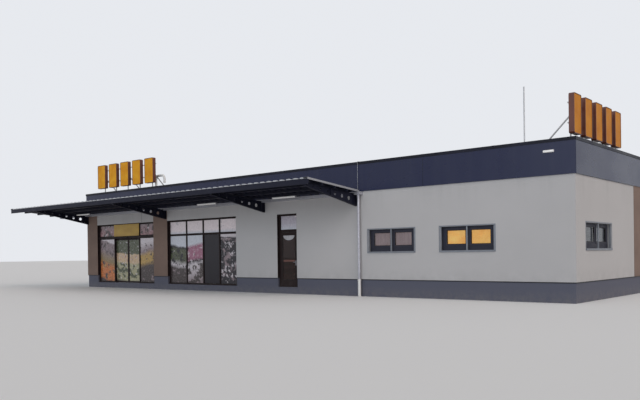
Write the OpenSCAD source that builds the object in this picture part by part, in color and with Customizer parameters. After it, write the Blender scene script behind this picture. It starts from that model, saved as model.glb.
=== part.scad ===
// A single-storey supermarket building with a rising canopy along the entrance side.
// X runs along the front, Y from the front to the back and Z up. The origin is at the centre of the
// floor plan, at the lowest ground level. All sizes are in millimetres.

/* [Front, from the left corner to the right] */
// Width of the brown pier at the left corner
left_pier_w = 990; // [700:10:1500]
// Width of the entrance opening
entrance_w = 5090; // [4600:10:6000]
// Width of the brown pier between the entrance and the shop window
right_pier_w = 1130; // [700:10:1500]
// Width of the shop window
shop_window_w = 4990; // [3600:10:6000]
// Width of the white wall between the shop window and the side door
wall_centre_w = 2570; // [1500:10:4000]
// Width of the side door's opening
side_door_w = 1120; // [1000:10:1400]
// Width of the white wall between the side door and the first office window
door_to_window = 3690; // [1000:10:6000]
// Width of each office window in the front
office_window_w = 2100; // [1400:10:2800]
// Width of the wall between the two office windows
window_gap = 1060; // [500:10:2500]
// Width of the wall between the second office window and the right corner
window_to_corner = 2735; // [1300:10:4000]

/* [Sides] */
// Number of wall bays from front to back
bays = 4; // [2:1:5]
// White wall in each bay
bay_wall = 5920; // [4500:10:7000]
// Width of the brown pilaster that ends each bay
pilaster_w = 1000; // [500:10:1500]
// How far a pilaster stands proud of the white wall
pilaster_proud = 15; // [5:1:60]
// Distance from the front corner to the window in the right side
side_window_y = 870; // [500:10:1500]
// Width of the window in the right side
side_window_w = 2500; // [1400:10:2900]

/* [Heights] */
// Height of the shop floor above the lowest ground
floor_h = 276; // [150:1:500]
// Top of the plinth
plinth_h = 667; // [550:1:900]
// Head of the entrance and of the shop window
opening_head = 3420; // [3250:10:3700]
// Height of the side door's opening above the shop floor
side_door_h = 3100; // [2700:10:3200]
// Sill of the office windows
office_sill = 1664; // [1100:1:1900]
// Height of the office windows
office_window_h = 900; // [600:10:1400]
// Underside of the dark band and of the roof
band_z = 4063; // [3950:1:4400]
// Height of the dark band, up to the coping
band_h = 1091; // [800:1:1600]
// Height of the coping
coping_h = 58; // [30:1:120]

/* [Walls and roof] */
// Thickness of the outer walls
wall_t = 300; // [260:5:400]
// How far the plinth lies back from the wall's face
plinth_recess = 25; // [5:1:60]
// Thickness of the parapet behind the band
parapet_t = 200; // [150:5:220]
// How far the band stands proud of the wall
band_proud = 30; // [5:1:60]
// How far the coping oversails the band, on both faces
coping_drip = 25; // [10:1:60]
// Gap at the corners of the coping
coping_joint = 4; // [2:1:10]
// Thickness of the roof deck
roof_t = 300; // [150:5:400]

/* [Canopy] */
// Overhang of the canopy past the left corner
canopy_left = 2625; // [500:5:3000]
// Distance from the right corner of the building to the canopy's right end
canopy_right = 8320; // [7500:10:9500]
// Reach of the canopy from the wall to its front beam
canopy_reach = 3050; // [2700:10:3500]
// Rise of the canopy from the wall to its front beam
canopy_rise = 285; // [100:5:500]
// Underside of the roof sheet at the wall
sheet_z = 4055; // [4000:1:4100]
// Spacing of the sheet's ribs
rib_pitch = 333; // [250:1:500]
// Width of a rib at its foot
rib_foot = 200; // [120:1:220]
// Width of a rib at its crest
rib_crest = 130; // [60:1:140]
// Height of a rib
rib_h = 40; // [20:1:60]
// Thickness of the sheet
sheet_t = 5; // [3:1:8]
// Distance from the wall to the sheet's upper edge
sheet_start = 110; // [60:5:160]
// How far the sheet runs past the front beam
sheet_drip = 15; // [5:1:40]
// Depth of the purlins
purlin_h = 100; // [60:5:140]
// Width of the purlins
purlin_w = 60; // [40:5:100]
// Distance from the wall to the first purlin
purlin_first = 800; // [600:10:1000]
// Spacing of the purlins
purlin_pitch = 750; // [600:10:850]
// Number of purlins
purlin_count = 3; // [2:1:3]
// Gap over and under the purlins, and over the front beam
purlin_gap = 0.3; // [0.2:0.1:0.5]
// Depth of the front beam
fascia_h = 200; // [150:5:280]
// Thickness of the front beam
fascia_t = 50; // [30:5:80]

/* [Canopy brackets] */
// Depth of a bracket at the wall
bracket_root_h = 455; // [380:5:600]
// Depth of a bracket at its tip
bracket_tip_h = 140; // [110:5:180]
// Width of a bracket's flanges
bracket_flange_w = 120; // [80:5:160]
// Thickness of a bracket's flanges
bracket_flange_t = 12; // [8:1:16]
// Thickness of a bracket's web
bracket_web_t = 12; // [8:1:20]
// Thickness of the plate that fixes a bracket to the wall
bracket_plate_t = 15; // [10:1:25]
// Number of round holes in a bracket's web
hole_count = 6; // [3:1:6]
// Distance from the wall to the first hole
hole_first = 480; // [400:10:500]
// Spacing of the holes
hole_pitch = 420; // [380:5:460]
// Diameter of a hole, as a share of the web's depth there
hole_share = 0.38; // [0.3:0.02:0.6]
// Distance from the left corner to the middle of the first bracket
bracket_in = 70; // [60:5:400]
// Distance from the shop window back to the middle of the bracket on the right pier
bracket_on_pier = 95; // [60:5:600]
// Distance from the side door back to the middle of the bracket beside it
bracket_to_door = 765; // [100:5:1200]
// Distance from the canopy's right end back to the middle of the last bracket
bracket_end = 210; // [150:5:600]

/* [Gutter and downpipe] */
// Width of the gutter at the wall
gutter_w = 190; // [150:5:215]
// Depth of the gutter
gutter_h = 120; // [80:5:125]
// Thickness of the gutter's walls
gutter_t = 6; // [4:1:10]
// Gap between the gutter's rim and the sheet's underside at the wall
gutter_clear = 5; // [3:1:20]
// Space along the brackets beside the gutter
gutter_side = 25; // [10:1:40]
// How far the gutter runs past the sheet's right end
gutter_past = 100; // [80:5:200]
// Diameter of the downpipe
downpipe_d = 100; // [80:5:120]
// Gap between the downpipe and the wall
downpipe_gap = 60; // [40:5:80]
// How far the downpipe's side stands out past the sheet's right end
downpipe_past = 20; // [0:5:60]
// Height of a pipe clip
clip_h = 30; // [20:1:50]
// How much wider a pipe clip is than the pipe
clip_play = 10; // [6:1:16]
// Height of the lowest pipe clip above the ground
clip_first = 900; // [700:10:1200]
// Spacing of the pipe clips
clip_pitch = 1300; // [900:10:1350]
// Number of pipe clips
clip_count = 3; // [2:1:3]

/* [Doors and shop window] */
// Width of the sidelight on the left of the sliding doors
left_light_w = 1473; // [1250:5:1700]
// Width of the sidelight on the right of the sliding doors
right_light_w = 1366; // [1250:5:1700]
// Width of the fixed frames' bars
frame_w = 60; // [40:5:80]
// Depth of the fixed frames
frame_t = 100; // [60:5:110]
// How far the fixed frames lie back from the wall's face
frame_recess = 110; // [60:5:120]
// Thickness of the glass
glass_t = 24; // [10:1:40]
// Underside of the transom over the sliding doors, above the shop floor
header_z = 2360; // [2200:10:2500]
// Height of the transom over the sliding doors
header_h = 130; // [100:5:180]
// Depth of the case that carries the sliding doors
operator_t = 65; // [55:5:75]
// Thickness of the plain panel over the sliding doors
panel_t = 25; // [10:1:40]
// Running gap of doors
door_gap = 8; // [6:1:12]
// Thickness of the sliding doors
sliding_t = 40; // [30:1:45]
// Width of the sliding doors' bars
sliding_bar = 60; // [40:5:80]
// How far a sliding door covers the sidelight beside it
sliding_lap = 60; // [30:5:90]
// Width of the hangers that carry a sliding door
hanger_w = 80; // [40:5:160]
// Gap over the hangers that carry a sliding door
hanger_gap = 0.3; // [0.2:0.1:0.5]
// Underside of the bar across the shop window, above the shop floor
shop_bar_z = 2390; // [2200:10:2600]
// Middle of the shop window's first upright bar, as a share of the window's width
shop_bar_1 = 0.2685; // [0.2:0.0005:0.3]
// Middle of the shop window's second upright bar, as a share of the window's width
shop_bar_2 = 0.5154; // [0.4:0.0002:0.6]
// Middle of the shop window's third upright bar, as a share of the window's width
shop_bar_3 = 0.7485; // [0.7:0.0005:0.8]
// Width of the upright bars of the side door's frame
side_frame_w = 80; // [60:5:120]
// Underside of the side door's transom, above the shop floor
side_transom_z = 2340; // [2200:10:2400]
// Height of the side door's transom
side_transom_h = 90; // [60:5:120]
// Thickness of the side door's leaf
leaf_t = 50; // [40:1:60]
// Width of the leaf's upright bars
leaf_stile = 120; // [60:5:140]
// Height of the leaf's top bar
leaf_top_rail = 110; // [60:5:140]
// Height of the leaf's bottom bar
leaf_bottom_rail = 300; // [150:5:400]
// Height of the push bar above the shop floor
push_bar_z = 1080; // [900:10:1200]
// Distance from the leaf's edges to the push bar
push_bar_in = 30; // [10:5:80]
// Depth of the push bar's case
push_bar_t = 60; // [40:1:80]
// Height of the push bar's case
push_bar_h = 70; // [50:1:90]
// Radius of the hinge knuckles
knuckle_r = 10; // [8:0.5:14]
// Width of a hinge plate
hinge_plate_w = 34; // [20:1:50]
// Thickness of a hinge plate
hinge_plate_t = 4; // [2:0.5:6]
// Gap between the side door's leaf and its frame at the hinges
hinge_play = 6; // [5:1:10]
// Length of one hinge knuckle
knuckle_l = 50; // [40:1:80]
// Height of the lowest hinge above the leaf's foot
hinge_first = 200; // [100:10:220]
// Spacing of the hinges
hinge_pitch = 900; // [500:10:900]
// Number of hinges
hinge_count = 3; // [2:1:3]

/* [Office windows] */
// Width of the bar between an office window's two sashes
office_bar = 90; // [40:5:120]
// Width of an office window's upright bars at the wall
office_side_bar = 150; // [60:5:180]
// Height of an office window's top bar
office_head_bar = 70; // [50:5:120]
// Height of an office window's bottom bar, with the window sill under it
office_foot_bar = 220; // [100:5:240]
// Width of a sash's bars
sash_bar = 55; // [40:1:70]
// How far a sash stands proud of its frame
sash_proud = 12; // [5:1:20]
// Depth of an office window's frame
office_frame_t = 70; // [50:1:90]
// How far an office window's frame lies back from the wall's face
office_recess = 140; // [110:5:160]
// Width and depth of the blind rails
rail_w = 45; // [30:1:60]
// How far the blind rails lie back from the wall's face
rail_recess = 20; // [0:1:40]
// Thickness of the window sills
sill_t = 60; // [20:5:80]
// How far the window sills stand out from the wall
sill_out = 35; // [20:1:60]

/* [Roof signs and roof fittings] */
// Number of light boxes in each roof sign
sign_boxes_n = 5; // [3:1:6]
// Length of the sign over the entrance
front_sign_w = 5030; // [3500:10:5600]
// Distance from the left corner to the sign over the entrance
front_sign_x = 945; // [300:5:1800]
// Underside of the sign over the entrance, above the coping
front_sign_lift = 230; // [120:5:400]
// Length of the sign on the right side
side_sign_w = 4630; // [3500:10:6000]
// Distance from the front corner to the sign on the right side
side_sign_y = 240; // [200:5:1500]
// Underside of the sign on the right side, above the coping
side_sign_lift = 150; // [120:5:400]
// Height of the light boxes
sign_h = 1280; // [800:10:1600]
// Depth of the light boxes
sign_t = 180; // [100:5:220]
// Gap between the light boxes
sign_gap = 350; // [100:10:400]
// Corner radius of the light boxes
sign_r = 60; // [20:5:100]
// Distance from the wall's face to the light boxes' faces
sign_setback = 100; // [60:5:160]
// Size of the sign frames' square tubes
tube_w = 40; // [30:1:60]
// Height of the braces' upper ends above the sign's underside
brace_up = 640; // [300:10:900]
// Number of braces behind each roof sign
brace_count = 3; // [2:1:4]
// Thickness of the foot plate under the mast and the cable neck
foot_t = 10; // [6:1:20]
// Distance from the left corner to the cable neck on the roof
neck_x = 5630; // [5300:10:7000]
// Distance from the front to the cable neck and its bends
neck_y = 550; // [400:10:900]
// Radius of the cable neck's pipe
neck_r = 60; // [30:1:80]
// Radius of the cable neck's two bends
neck_bend = 200; // [100:5:300]
// Length of the level pipe between the cable neck's bends
neck_span = 295; // [50:5:400]
// Top of the cable neck above the roof
neck_h = 1517; // [900:1:1800]
// Distance from the right corner to the mast
mast_x = 2970; // [1000:10:5000]
// Distance from the front to the mast
mast_y = 3000; // [2000:10:6000]
// Height of the mast above the roof
mast_h = 3390; // [1000:10:4000]
// Diameter of the mast
mast_d = 50; // [30:1:80]
// Length of the lamp on the band
lamp_w = 340; // [200:5:600]
// Height of the lamp on the band
lamp_h = 80; // [60:5:160]
// Depth of the lamp on the band
lamp_t = 90; // [50:5:140]
// Distance from the right corner to the lamp
lamp_x = 650; // [300:10:1500]
// Height of the lamp's underside above the band's lower edge
lamp_z = 720; // [200:10:900]
// Length of the lights under the canopy
batten_w = 1300; // [900:10:1600]
// Width of the lights under the canopy
batten_d = 90; // [60:5:120]
// Height of the lights under the canopy
batten_h = 65; // [40:5:90]
// Distance from the first bracket to the light beside it
batten_in = 195; // [80:5:600]
// Distance from the shop window's left edge to the light over it
batten_on_window = 3300; // [500:10:3600]
// Distance from the side door's left edge to the light over it
batten_on_door = 525; // [0:5:1500]

/* [Hidden] */
$fn = 48;

front_w = left_pier_w + entrance_w + right_pier_w + shop_window_w + wall_centre_w + side_door_w
    + door_to_window + 2 * office_window_w + window_gap + window_to_corner;
bay = bay_wall + pilaster_w;
depth = bays * bay;
x_left = -front_w / 2;
x_right = front_w / 2;
y_front = -depth / 2;
y_back = depth / 2;
entrance_x = x_left + left_pier_w;
right_pier_x = entrance_x + entrance_w;
shop_window_x = right_pier_x + right_pier_w;
wall_centre_x = shop_window_x + shop_window_w;
side_door_x = wall_centre_x + wall_centre_w;
wall_right_x = side_door_x + side_door_w;
window_a_x = wall_right_x + door_to_window;
window_c_x = window_a_x + office_window_w + window_gap;

roof_z = band_z + roof_t;
parapet_z = band_z + band_h;
coping_z = parapet_z + coping_h;
side_door_head = floor_h + side_door_h;

canopy_x0 = x_left - canopy_left;
canopy_x1 = x_right - canopy_right;
canopy_w = canopy_x1 - canopy_x0;
canopy_slope = atan(canopy_rise / canopy_reach);
// Brackets at the left corner, on the right pier, beside the side door and at the canopy's right end
bracket_xs = [
    x_left + bracket_in, shop_window_x - bracket_on_pier,
    side_door_x - bracket_to_door, canopy_x1 - bracket_end
];
// One light beside the first bracket, one over the shop window and one over the side door
batten_xs = [bracket_xs[0] + batten_in, shop_window_x + batten_on_window, side_door_x + batten_on_door];
// Underside of the gutter, and of the seat that the brackets leave for it
gutter_z = sheet_z - gutter_clear - gutter_h;

// Underside of the sheet, and top of the brackets, at a distance from the wall
function sheet_under(d) = sheet_z + canopy_rise * d / canopy_reach;
function bracket_top(d) = sheet_under(d) - purlin_h;
function bracket_h(d) = bracket_root_h + (bracket_tip_h - bracket_root_h) * d / canopy_reach;

// Draws a flat outline of depth and height as a bar along X
module bar_along_x(x, w) {
    translate([x, y_front, 0]) rotate([90, 0, 90]) linear_extrude(w) children();
}

// Places what is drawn for a wall that faces the front: X along it, Y into it, from its left end
module on_front(x, z) {
    translate([x, y_front, z]) children();
}

// Places what is drawn in the same way on the right side, y from the front corner
module on_right(y, z) {
    translate([x_right, y_front + y, z]) rotate([0, 0, 90]) children();
}

// A rectangle of bars, of the outer size w by h and the depth t
module ring(w, h, t, side, top, bottom) {
    difference() {
        cube([w, t, h]);
        translate([side, -1, bottom]) cube([w - 2 * side, t + 2, h - top - bottom]);
    }
}

module floor_slab() {
    color("silver")
        translate([x_left + wall_t, y_front + wall_t, 0])
            cube([front_w - 2 * wall_t, depth - 2 * wall_t, floor_h]);
}

// The foundation beam under the front, which carries the plinth and the door and shop window frames
module front_footing() {
    color("dimgray") translate([x_left + plinth_recess, y_front + plinth_recess, 0])
        cube([front_w - 2 * plinth_recess, wall_t - plinth_recess, floor_h]);
}

module front_plinth() {
    color("dimgray") for (p = [
        [x_left + plinth_recess, entrance_x], [right_pier_x, shop_window_x],
        [wall_centre_x, side_door_x], [wall_right_x, x_right - plinth_recess]
    ])
        translate([p[0], y_front + plinth_recess, floor_h])
            cube([p[1] - p[0], wall_t - plinth_recess, plinth_h - floor_h]);
}

module side_plinth(x) {
    color("dimgray") translate([x, y_front + wall_t, 0])
        cube([wall_t - plinth_recess, depth - 2 * wall_t, plinth_h]);
}

module right_plinth() {
    side_plinth(x_right - wall_t);
}

module left_plinth() {
    side_plinth(x_left + plinth_recess);
}

module back_plinth() {
    color("dimgray") translate([x_left + plinth_recess, y_back - wall_t, 0])
        cube([front_w - 2 * plinth_recess, wall_t - plinth_recess, plinth_h]);
}

module front_piers() {
    color("sienna") for (p = [[x_left, left_pier_w], [right_pier_x, right_pier_w]])
        on_front(p[0], plinth_h) cube([p[1], wall_t, band_z - plinth_h]);
}

module lintels() {
    color("whitesmoke") {
        on_front(entrance_x, opening_head) cube([entrance_w, wall_t, band_z - opening_head]);
        on_front(shop_window_x, opening_head) cube([shop_window_w, wall_t, band_z - opening_head]);
        on_front(side_door_x, side_door_head) cube([side_door_w, wall_t, band_z - side_door_head]);
    }
}

module front_wall_centre() {
    color("whitesmoke") on_front(wall_centre_x, plinth_h)
        cube([wall_centre_w, wall_t, band_z - plinth_h]);
}

module front_wall_right() {
    color("whitesmoke") difference() {
        on_front(wall_right_x, plinth_h)
            cube([x_right - wall_right_x, wall_t, band_z - plinth_h]);
        for (x = [window_a_x, window_c_x])
            on_front(x, office_sill) translate([0, -1, 0])
                cube([office_window_w, wall_t + 2, office_window_h]);
    }
}

module right_wall() {
    color("whitesmoke") difference() {
        translate([x_right - wall_t, y_front + wall_t, plinth_h])
            cube([wall_t, depth - 2 * wall_t, band_z - plinth_h]);
        on_right(side_window_y, office_sill) translate([0, -1, 0])
            cube([side_window_w, wall_t + 2, office_window_h]);
    }
}

module left_wall() {
    color("whitesmoke") translate([x_left, y_front + wall_t, plinth_h])
        cube([wall_t, depth - 2 * wall_t, band_z - plinth_h]);
}

module back_wall() {
    color("whitesmoke") translate([x_left, y_back - wall_t, plinth_h])
        cube([front_w, wall_t, band_z - plinth_h]);
}

// Brown pads on the sides and the back, one at the end of each bay
module wall_pilasters() {
    pad_h = band_z - plinth_h;
    color("sienna") {
        for (i = [1:bays]) {
            translate([x_right, y_front + i * bay - pilaster_w, plinth_h])
                cube([pilaster_proud, pilaster_w, pad_h]);
            translate([x_left - pilaster_proud, y_front + i * bay - pilaster_w, plinth_h])
                cube([pilaster_proud, pilaster_w, pad_h]);
        }
        translate([x_left - pilaster_proud, y_front, plinth_h])
            cube([pilaster_proud, pilaster_w, pad_h]);
        for (i = [0:bays])
            translate([x_left + i * (front_w - pilaster_w) / bays, y_back, plinth_h])
                cube([pilaster_w, pilaster_proud, pad_h]);
    }
}

module end_parapet(y) {
    color("darkslategray") translate([x_left - band_proud, y, band_z])
        cube([front_w + 2 * band_proud, parapet_t, band_h]);
}

module parapet_front() {
    end_parapet(y_front - band_proud);
}

module parapet_back() {
    end_parapet(y_back + band_proud - parapet_t);
}

module side_parapet(x) {
    run = depth + 2 * band_proud - 2 * parapet_t;
    color("darkslategray") translate([x, -run / 2, band_z]) cube([parapet_t, run, band_h]);
}

module parapet_right() {
    side_parapet(x_right + band_proud - parapet_t);
}

module parapet_left() {
    side_parapet(x_left - band_proud);
}

// Metal capping in four lengths, with an open joint at each corner
module coping() {
    cap_w = parapet_t + 2 * coping_drip;
    cap_x = x_right + band_proud + coping_drip;
    cap_y = y_back + band_proud + coping_drip;
    side_run = 2 * (cap_y - cap_w - coping_joint);
    color("black") {
        for (y = [-cap_y, cap_y - cap_w])
            translate([-cap_x, y, parapet_z]) cube([2 * cap_x, cap_w, coping_h]);
        for (x = [-cap_x, cap_x - cap_w])
            translate([x, -side_run / 2, parapet_z]) cube([cap_w, side_run, coping_h]);
    }
}

module roof_deck() {
    inset = parapet_t - band_proud;
    color("gray") translate([x_left + inset, y_front + inset, band_z])
        cube([front_w - 2 * inset, depth - 2 * inset, roof_t]);
}

// Outline of the ribbed sheet seen from its end: the upper line, then the same line lowered
module rib_outline() {
    ribs = floor(canopy_w / rib_pitch);
    margin = (canopy_w - ribs * rib_pitch + rib_pitch - rib_foot) / 2;
    flank = (rib_foot - rib_crest) / 2;
    line = concat(
        [[0, 0]],
        [for (i = [0:ribs - 1], p = [[0, 0], [flank, rib_h], [flank + rib_crest, rib_h], [rib_foot, 0]])
            [margin + i * rib_pitch + p[0], p[1]]],
        [[canopy_w, 0]]
    );
    last = len(line) - 1;
    polygon(concat(
        [for (p = line) [p[0], p[1] + sheet_t]],
        [for (i = [0:last]) line[last - i]]
    ));
}

module canopy_sheet() {
    sheet_l = (canopy_reach + fascia_t + sheet_drip - sheet_start) / cos(canopy_slope);
    color("lightgray") translate([canopy_x0, y_front - sheet_start, sheet_under(sheet_start)])
        rotate([90 - canopy_slope, 0, 0]) linear_extrude(sheet_l) rib_outline();
}

module canopy_purlins() {
    color("midnightblue") for (i = [0:purlin_count - 1]) {
        d = purlin_first + i * purlin_pitch;
        near = d - purlin_w / 2;
        far = d + purlin_w / 2;
        bar_along_x(canopy_x0, canopy_w) polygon([
            [-near, bracket_top(near) + purlin_gap], [-near, sheet_under(near) - purlin_gap],
            [-far, sheet_under(far) - purlin_gap], [-far, bracket_top(far) + purlin_gap]
        ]);
    }
}

module canopy_fascia() {
    far = canopy_reach + fascia_t;
    foot = sheet_under(far) - fascia_h;
    color("midnightblue") bar_along_x(canopy_x0, canopy_w) polygon([
        [-canopy_reach, foot], [-canopy_reach, sheet_under(canopy_reach) - purlin_gap],
        [-far, sheet_under(far) - purlin_gap], [-far, foot]
    ]);
}

// A tapered cellular bracket: an end plate, a web with round holes and two flanges
module bracket(x) {
    seat = gutter_w + gutter_side;
    foot_z = bracket_top(0) - bracket_root_h;
    tip_z = bracket_top(canopy_reach) - bracket_tip_h;
    reach = canopy_reach;
    difference() {
        union() {
            bar_along_x(x - bracket_web_t / 2, bracket_web_t) polygon([
                [0, foot_z], [0, gutter_z], [-seat, gutter_z], [-seat, bracket_top(seat)],
                [-reach, bracket_top(reach)], [-reach, tip_z]
            ]);
            bar_along_x(x - bracket_flange_w / 2, bracket_flange_w) polygon([
                [-seat, bracket_top(seat)], [-reach, bracket_top(reach)],
                [-reach, bracket_top(reach) - bracket_flange_t],
                [-seat, bracket_top(seat) - bracket_flange_t]
            ]);
            bar_along_x(x - bracket_flange_w / 2, bracket_flange_w) polygon([
                [0, foot_z], [-reach, tip_z],
                [-reach, tip_z + bracket_flange_t], [0, foot_z + bracket_flange_t]
            ]);
            bar_along_x(x - bracket_flange_w / 2, bracket_flange_w) polygon([
                [0, foot_z], [0, gutter_z], [-bracket_plate_t, gutter_z], [-bracket_plate_t, foot_z]
            ]);
        }
        for (i = [0:hole_count - 1]) {
            d = hole_first + i * hole_pitch;
            bar_along_x(x - bracket_web_t, 2 * bracket_web_t)
                translate([-d, bracket_top(d) - bracket_h(d) / 2])
                    circle(d = hole_share * bracket_h(d));
        }
    }
}

module canopy_brackets() {
    color("midnightblue") for (x = bracket_xs) bracket(x);
}

// An open channel at the wall, with closed ends, that the sheet drains into
module canopy_gutter() {
    length = canopy_w + gutter_past;
    color("silver") translate([canopy_x0, y_front - gutter_w, gutter_z]) difference() {
        cube([length, gutter_w, gutter_h]);
        translate([gutter_t, gutter_t, gutter_t])
            cube([length - 2 * gutter_t, gutter_w - 2 * gutter_t, gutter_h]);
    }
}

module downpipe() {
    pipe_x = canopy_x1 - downpipe_d / 2 + downpipe_past;
    out = downpipe_gap + downpipe_d / 2;
    color("silver") on_front(pipe_x, 0) {
        translate([0, -out, 0]) cylinder(d = downpipe_d, h = gutter_z);
        for (i = [0:clip_count - 1]) translate([0, -out, clip_first + i * clip_pitch]) {
            cylinder(d = downpipe_d + clip_play, h = clip_h);
            translate([-clip_h / 2, 0, 0]) cube([clip_h, out, clip_h]);
        }
    }
}

module canopy_lights() {
    color("white") for (x = batten_xs)
        translate([x, y_front - purlin_first, bracket_top(purlin_first)])
            rotate([-canopy_slope, 0, 0])
                translate([0, -batten_d / 2, -batten_h]) cube([batten_w, batten_d, batten_h]);
}

// Clear width between the sidelights, and the left edge of that width
doorway_w = entrance_w - left_light_w - right_light_w;
doorway_x = entrance_x + left_light_w;
glazing_h = opening_head - floor_h;

module entrance_frame() {
    color("black") on_front(entrance_x, floor_h) translate([0, frame_recess, 0]) {
        ring(entrance_w, glazing_h, frame_t, frame_w, frame_w, 0);
        translate([frame_w, 0, header_z]) cube([entrance_w - 2 * frame_w, frame_t, header_h]);
        for (x = [left_light_w, entrance_w - right_light_w])
            translate([x - frame_w / 2, 0, 0]) cube([frame_w, frame_t, glazing_h]);
        for (light = [[0, left_light_w], [entrance_w - right_light_w, right_light_w]])
            translate([light[0], 0, 0]) cube([light[1], frame_t, frame_w]);
    }
}

// One pane that fills the gap between bars, in the middle of a frame's depth
module pane(x, z, w, h, recess, deep) {
    translate([x, recess + (deep - glass_t) / 2, z]) cube([w, glass_t, h]);
}

module entrance_glass() {
    half = frame_w / 2;
    columns = [
        [frame_w, left_light_w - half],
        [left_light_w + half, entrance_w - right_light_w - half],
        [entrance_w - right_light_w + half, entrance_w - frame_w]
    ];
    over = header_z + header_h;
    color("lightblue", 0.5) on_front(entrance_x, floor_h) {
        for (c = columns)
            pane(c[0], over, c[1] - c[0], glazing_h - frame_w - over, frame_recess, frame_t);
        for (c = [columns[0], columns[2]])
            pane(c[0], frame_w, c[1] - c[0], header_z - frame_w, frame_recess, frame_t);
    }
}

// The case over the sliding doors, on the inside of the transom
module door_operator() {
    color("black") on_front(entrance_x + frame_w, floor_h + header_z)
        translate([0, frame_recess + frame_t, 0])
            cube([entrance_w - 2 * frame_w, operator_t, header_h]);
}

module entrance_sign_panel() {
    over = header_z + header_h;
    color("gold") on_front(doorway_x, floor_h + over) translate([0, frame_recess - panel_t, 0])
        cube([doorway_w, panel_t, glazing_h - frame_w / 2 - over]);
}

sliding_w = doorway_w / 2 - door_gap / 2 + sliding_lap;
sliding_y = frame_recess + frame_t + door_gap;
sliding_z = floor_h + door_gap;
sliding_h = header_z - 2 * door_gap;
sliding_left_x = doorway_x - sliding_lap;
sliding_right_x = doorway_x + doorway_w / 2 + door_gap / 2;

// A framed door leaf with two hangers that run under the operator's case
module sliding_door(x) {
    color("black") on_front(x, sliding_z) translate([0, sliding_y, 0]) {
        ring(sliding_w, sliding_h, sliding_t, sliding_bar, sliding_bar, sliding_bar);
        for (hx = [sliding_w / 5, sliding_w * 4 / 5])
            translate([hx - hanger_w / 2, sliding_t / 4, sliding_h])
                cube([hanger_w, sliding_t / 2, door_gap - hanger_gap]);
    }
}

module sliding_glass(x) {
    color("lightblue", 0.5) on_front(x, sliding_z)
        pane(sliding_bar, sliding_bar, sliding_w - 2 * sliding_bar, sliding_h - 2 * sliding_bar,
            sliding_y, sliding_t);
}

module sliding_door_left() {
    sliding_door(sliding_left_x);
}

module sliding_glass_left() {
    sliding_glass(sliding_left_x);
}

module sliding_door_right() {
    sliding_door(sliding_right_x);
}

module sliding_glass_right() {
    sliding_glass(sliding_right_x);
}

// Edges of the shop window's four columns and two rows
shop_column_edges = [for (share = [0, shop_bar_1, shop_bar_2, shop_bar_3, 1]) share * shop_window_w];
shop_columns = len(shop_column_edges) - 1;

module shop_window_frame() {
    color("black") on_front(shop_window_x, floor_h) translate([0, frame_recess, 0]) {
        ring(shop_window_w, glazing_h, frame_t, frame_w, frame_w, frame_w);
        for (i = [1:shop_columns - 1])
            translate([shop_column_edges[i] - frame_w / 2, 0, frame_w])
                cube([frame_w, frame_t, glazing_h - 2 * frame_w]);
        translate([frame_w, 0, shop_bar_z]) cube([shop_window_w - 2 * frame_w, frame_t, frame_w]);
    }
}

module shop_window_glass() {
    over = shop_bar_z + frame_w;
    color("lightblue", 0.5) on_front(shop_window_x, floor_h) for (i = [0:shop_columns - 1]) {
        low = shop_column_edges[i] + (i == 0 ? frame_w : frame_w / 2);
        high = shop_column_edges[i + 1] - (i == shop_columns - 1 ? frame_w : frame_w / 2);
        pane(low, frame_w, high - low, shop_bar_z - frame_w, frame_recess, frame_t);
        pane(low, over, high - low, glazing_h - frame_w - over, frame_recess, frame_t);
    }
}

// The side door's hinge axis lies in the gap between the frame and the leaf, in front of their faces
hinge_x = side_door_x + side_frame_w + hinge_play / 2;
hinge_y = frame_recess - knuckle_r;
leaf_x = hinge_x + hinge_play / 2;
leaf_w = side_door_x + side_door_w - side_frame_w - door_gap - leaf_x;
leaf_z = floor_h + door_gap;
leaf_h = side_transom_z - 2 * door_gap;
hinge_heights = [for (i = [0:hinge_count - 1]) hinge_first + i * hinge_pitch];

// One knuckle with its fixing plate, which points to the left for side -1 and to the right for 1
module knuckle(z, side) {
    on_front(hinge_x, z) translate([0, hinge_y, 0]) {
        cylinder(r = knuckle_r, h = knuckle_l);
        translate([side < 0 ? -hinge_plate_w : 0, knuckle_r - hinge_plate_t, 0])
            cube([hinge_plate_w, hinge_plate_t, knuckle_l]);
    }
}

module side_door_frame() {
    color("black") {
        on_front(side_door_x, floor_h) translate([0, frame_recess, 0]) {
            ring(side_door_w, side_door_h, frame_t, side_frame_w, frame_w, 0);
            translate([side_frame_w, 0, side_transom_z])
                cube([side_door_w - 2 * side_frame_w, frame_t, side_transom_h]);
        }
        for (z = hinge_heights) knuckle(leaf_z + z, -1);
    }
}

module fanlight_glass() {
    over = side_transom_z + side_transom_h;
    color("lightblue", 0.5) on_front(side_door_x, floor_h)
        pane(side_frame_w, over, side_door_w - 2 * side_frame_w, side_door_h - frame_w - over,
            frame_recess, frame_t);
}

module side_door_leaf() {
    color("black") {
        on_front(leaf_x, leaf_z) translate([0, frame_recess, 0])
            ring(leaf_w, leaf_h, leaf_t, leaf_stile, leaf_top_rail, leaf_bottom_rail);
        for (z = hinge_heights) knuckle(leaf_z + z + knuckle_l + hanger_gap, 1);
    }
}

module side_door_glass() {
    color("saddlebrown", 0.6) on_front(leaf_x, leaf_z)
        pane(leaf_stile, leaf_bottom_rail, leaf_w - 2 * leaf_stile,
            leaf_h - leaf_top_rail - leaf_bottom_rail, frame_recess, leaf_t);
}

module push_bar() {
    color("silver") on_front(leaf_x + push_bar_in, floor_h + push_bar_z)
        translate([0, frame_recess + leaf_t, 0])
            cube([leaf_w - 2 * push_bar_in, push_bar_t, push_bar_h]);
}

// Height of the sashes, and the width and left edges of the two sashes in a window w wide
sash_h = office_window_h - office_head_bar - office_foot_bar;
function sash_w(w) = (w - 2 * office_side_bar - office_bar) / 2;
function sash_xs(w) = [office_side_bar, office_side_bar + sash_w(w) + office_bar];

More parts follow.
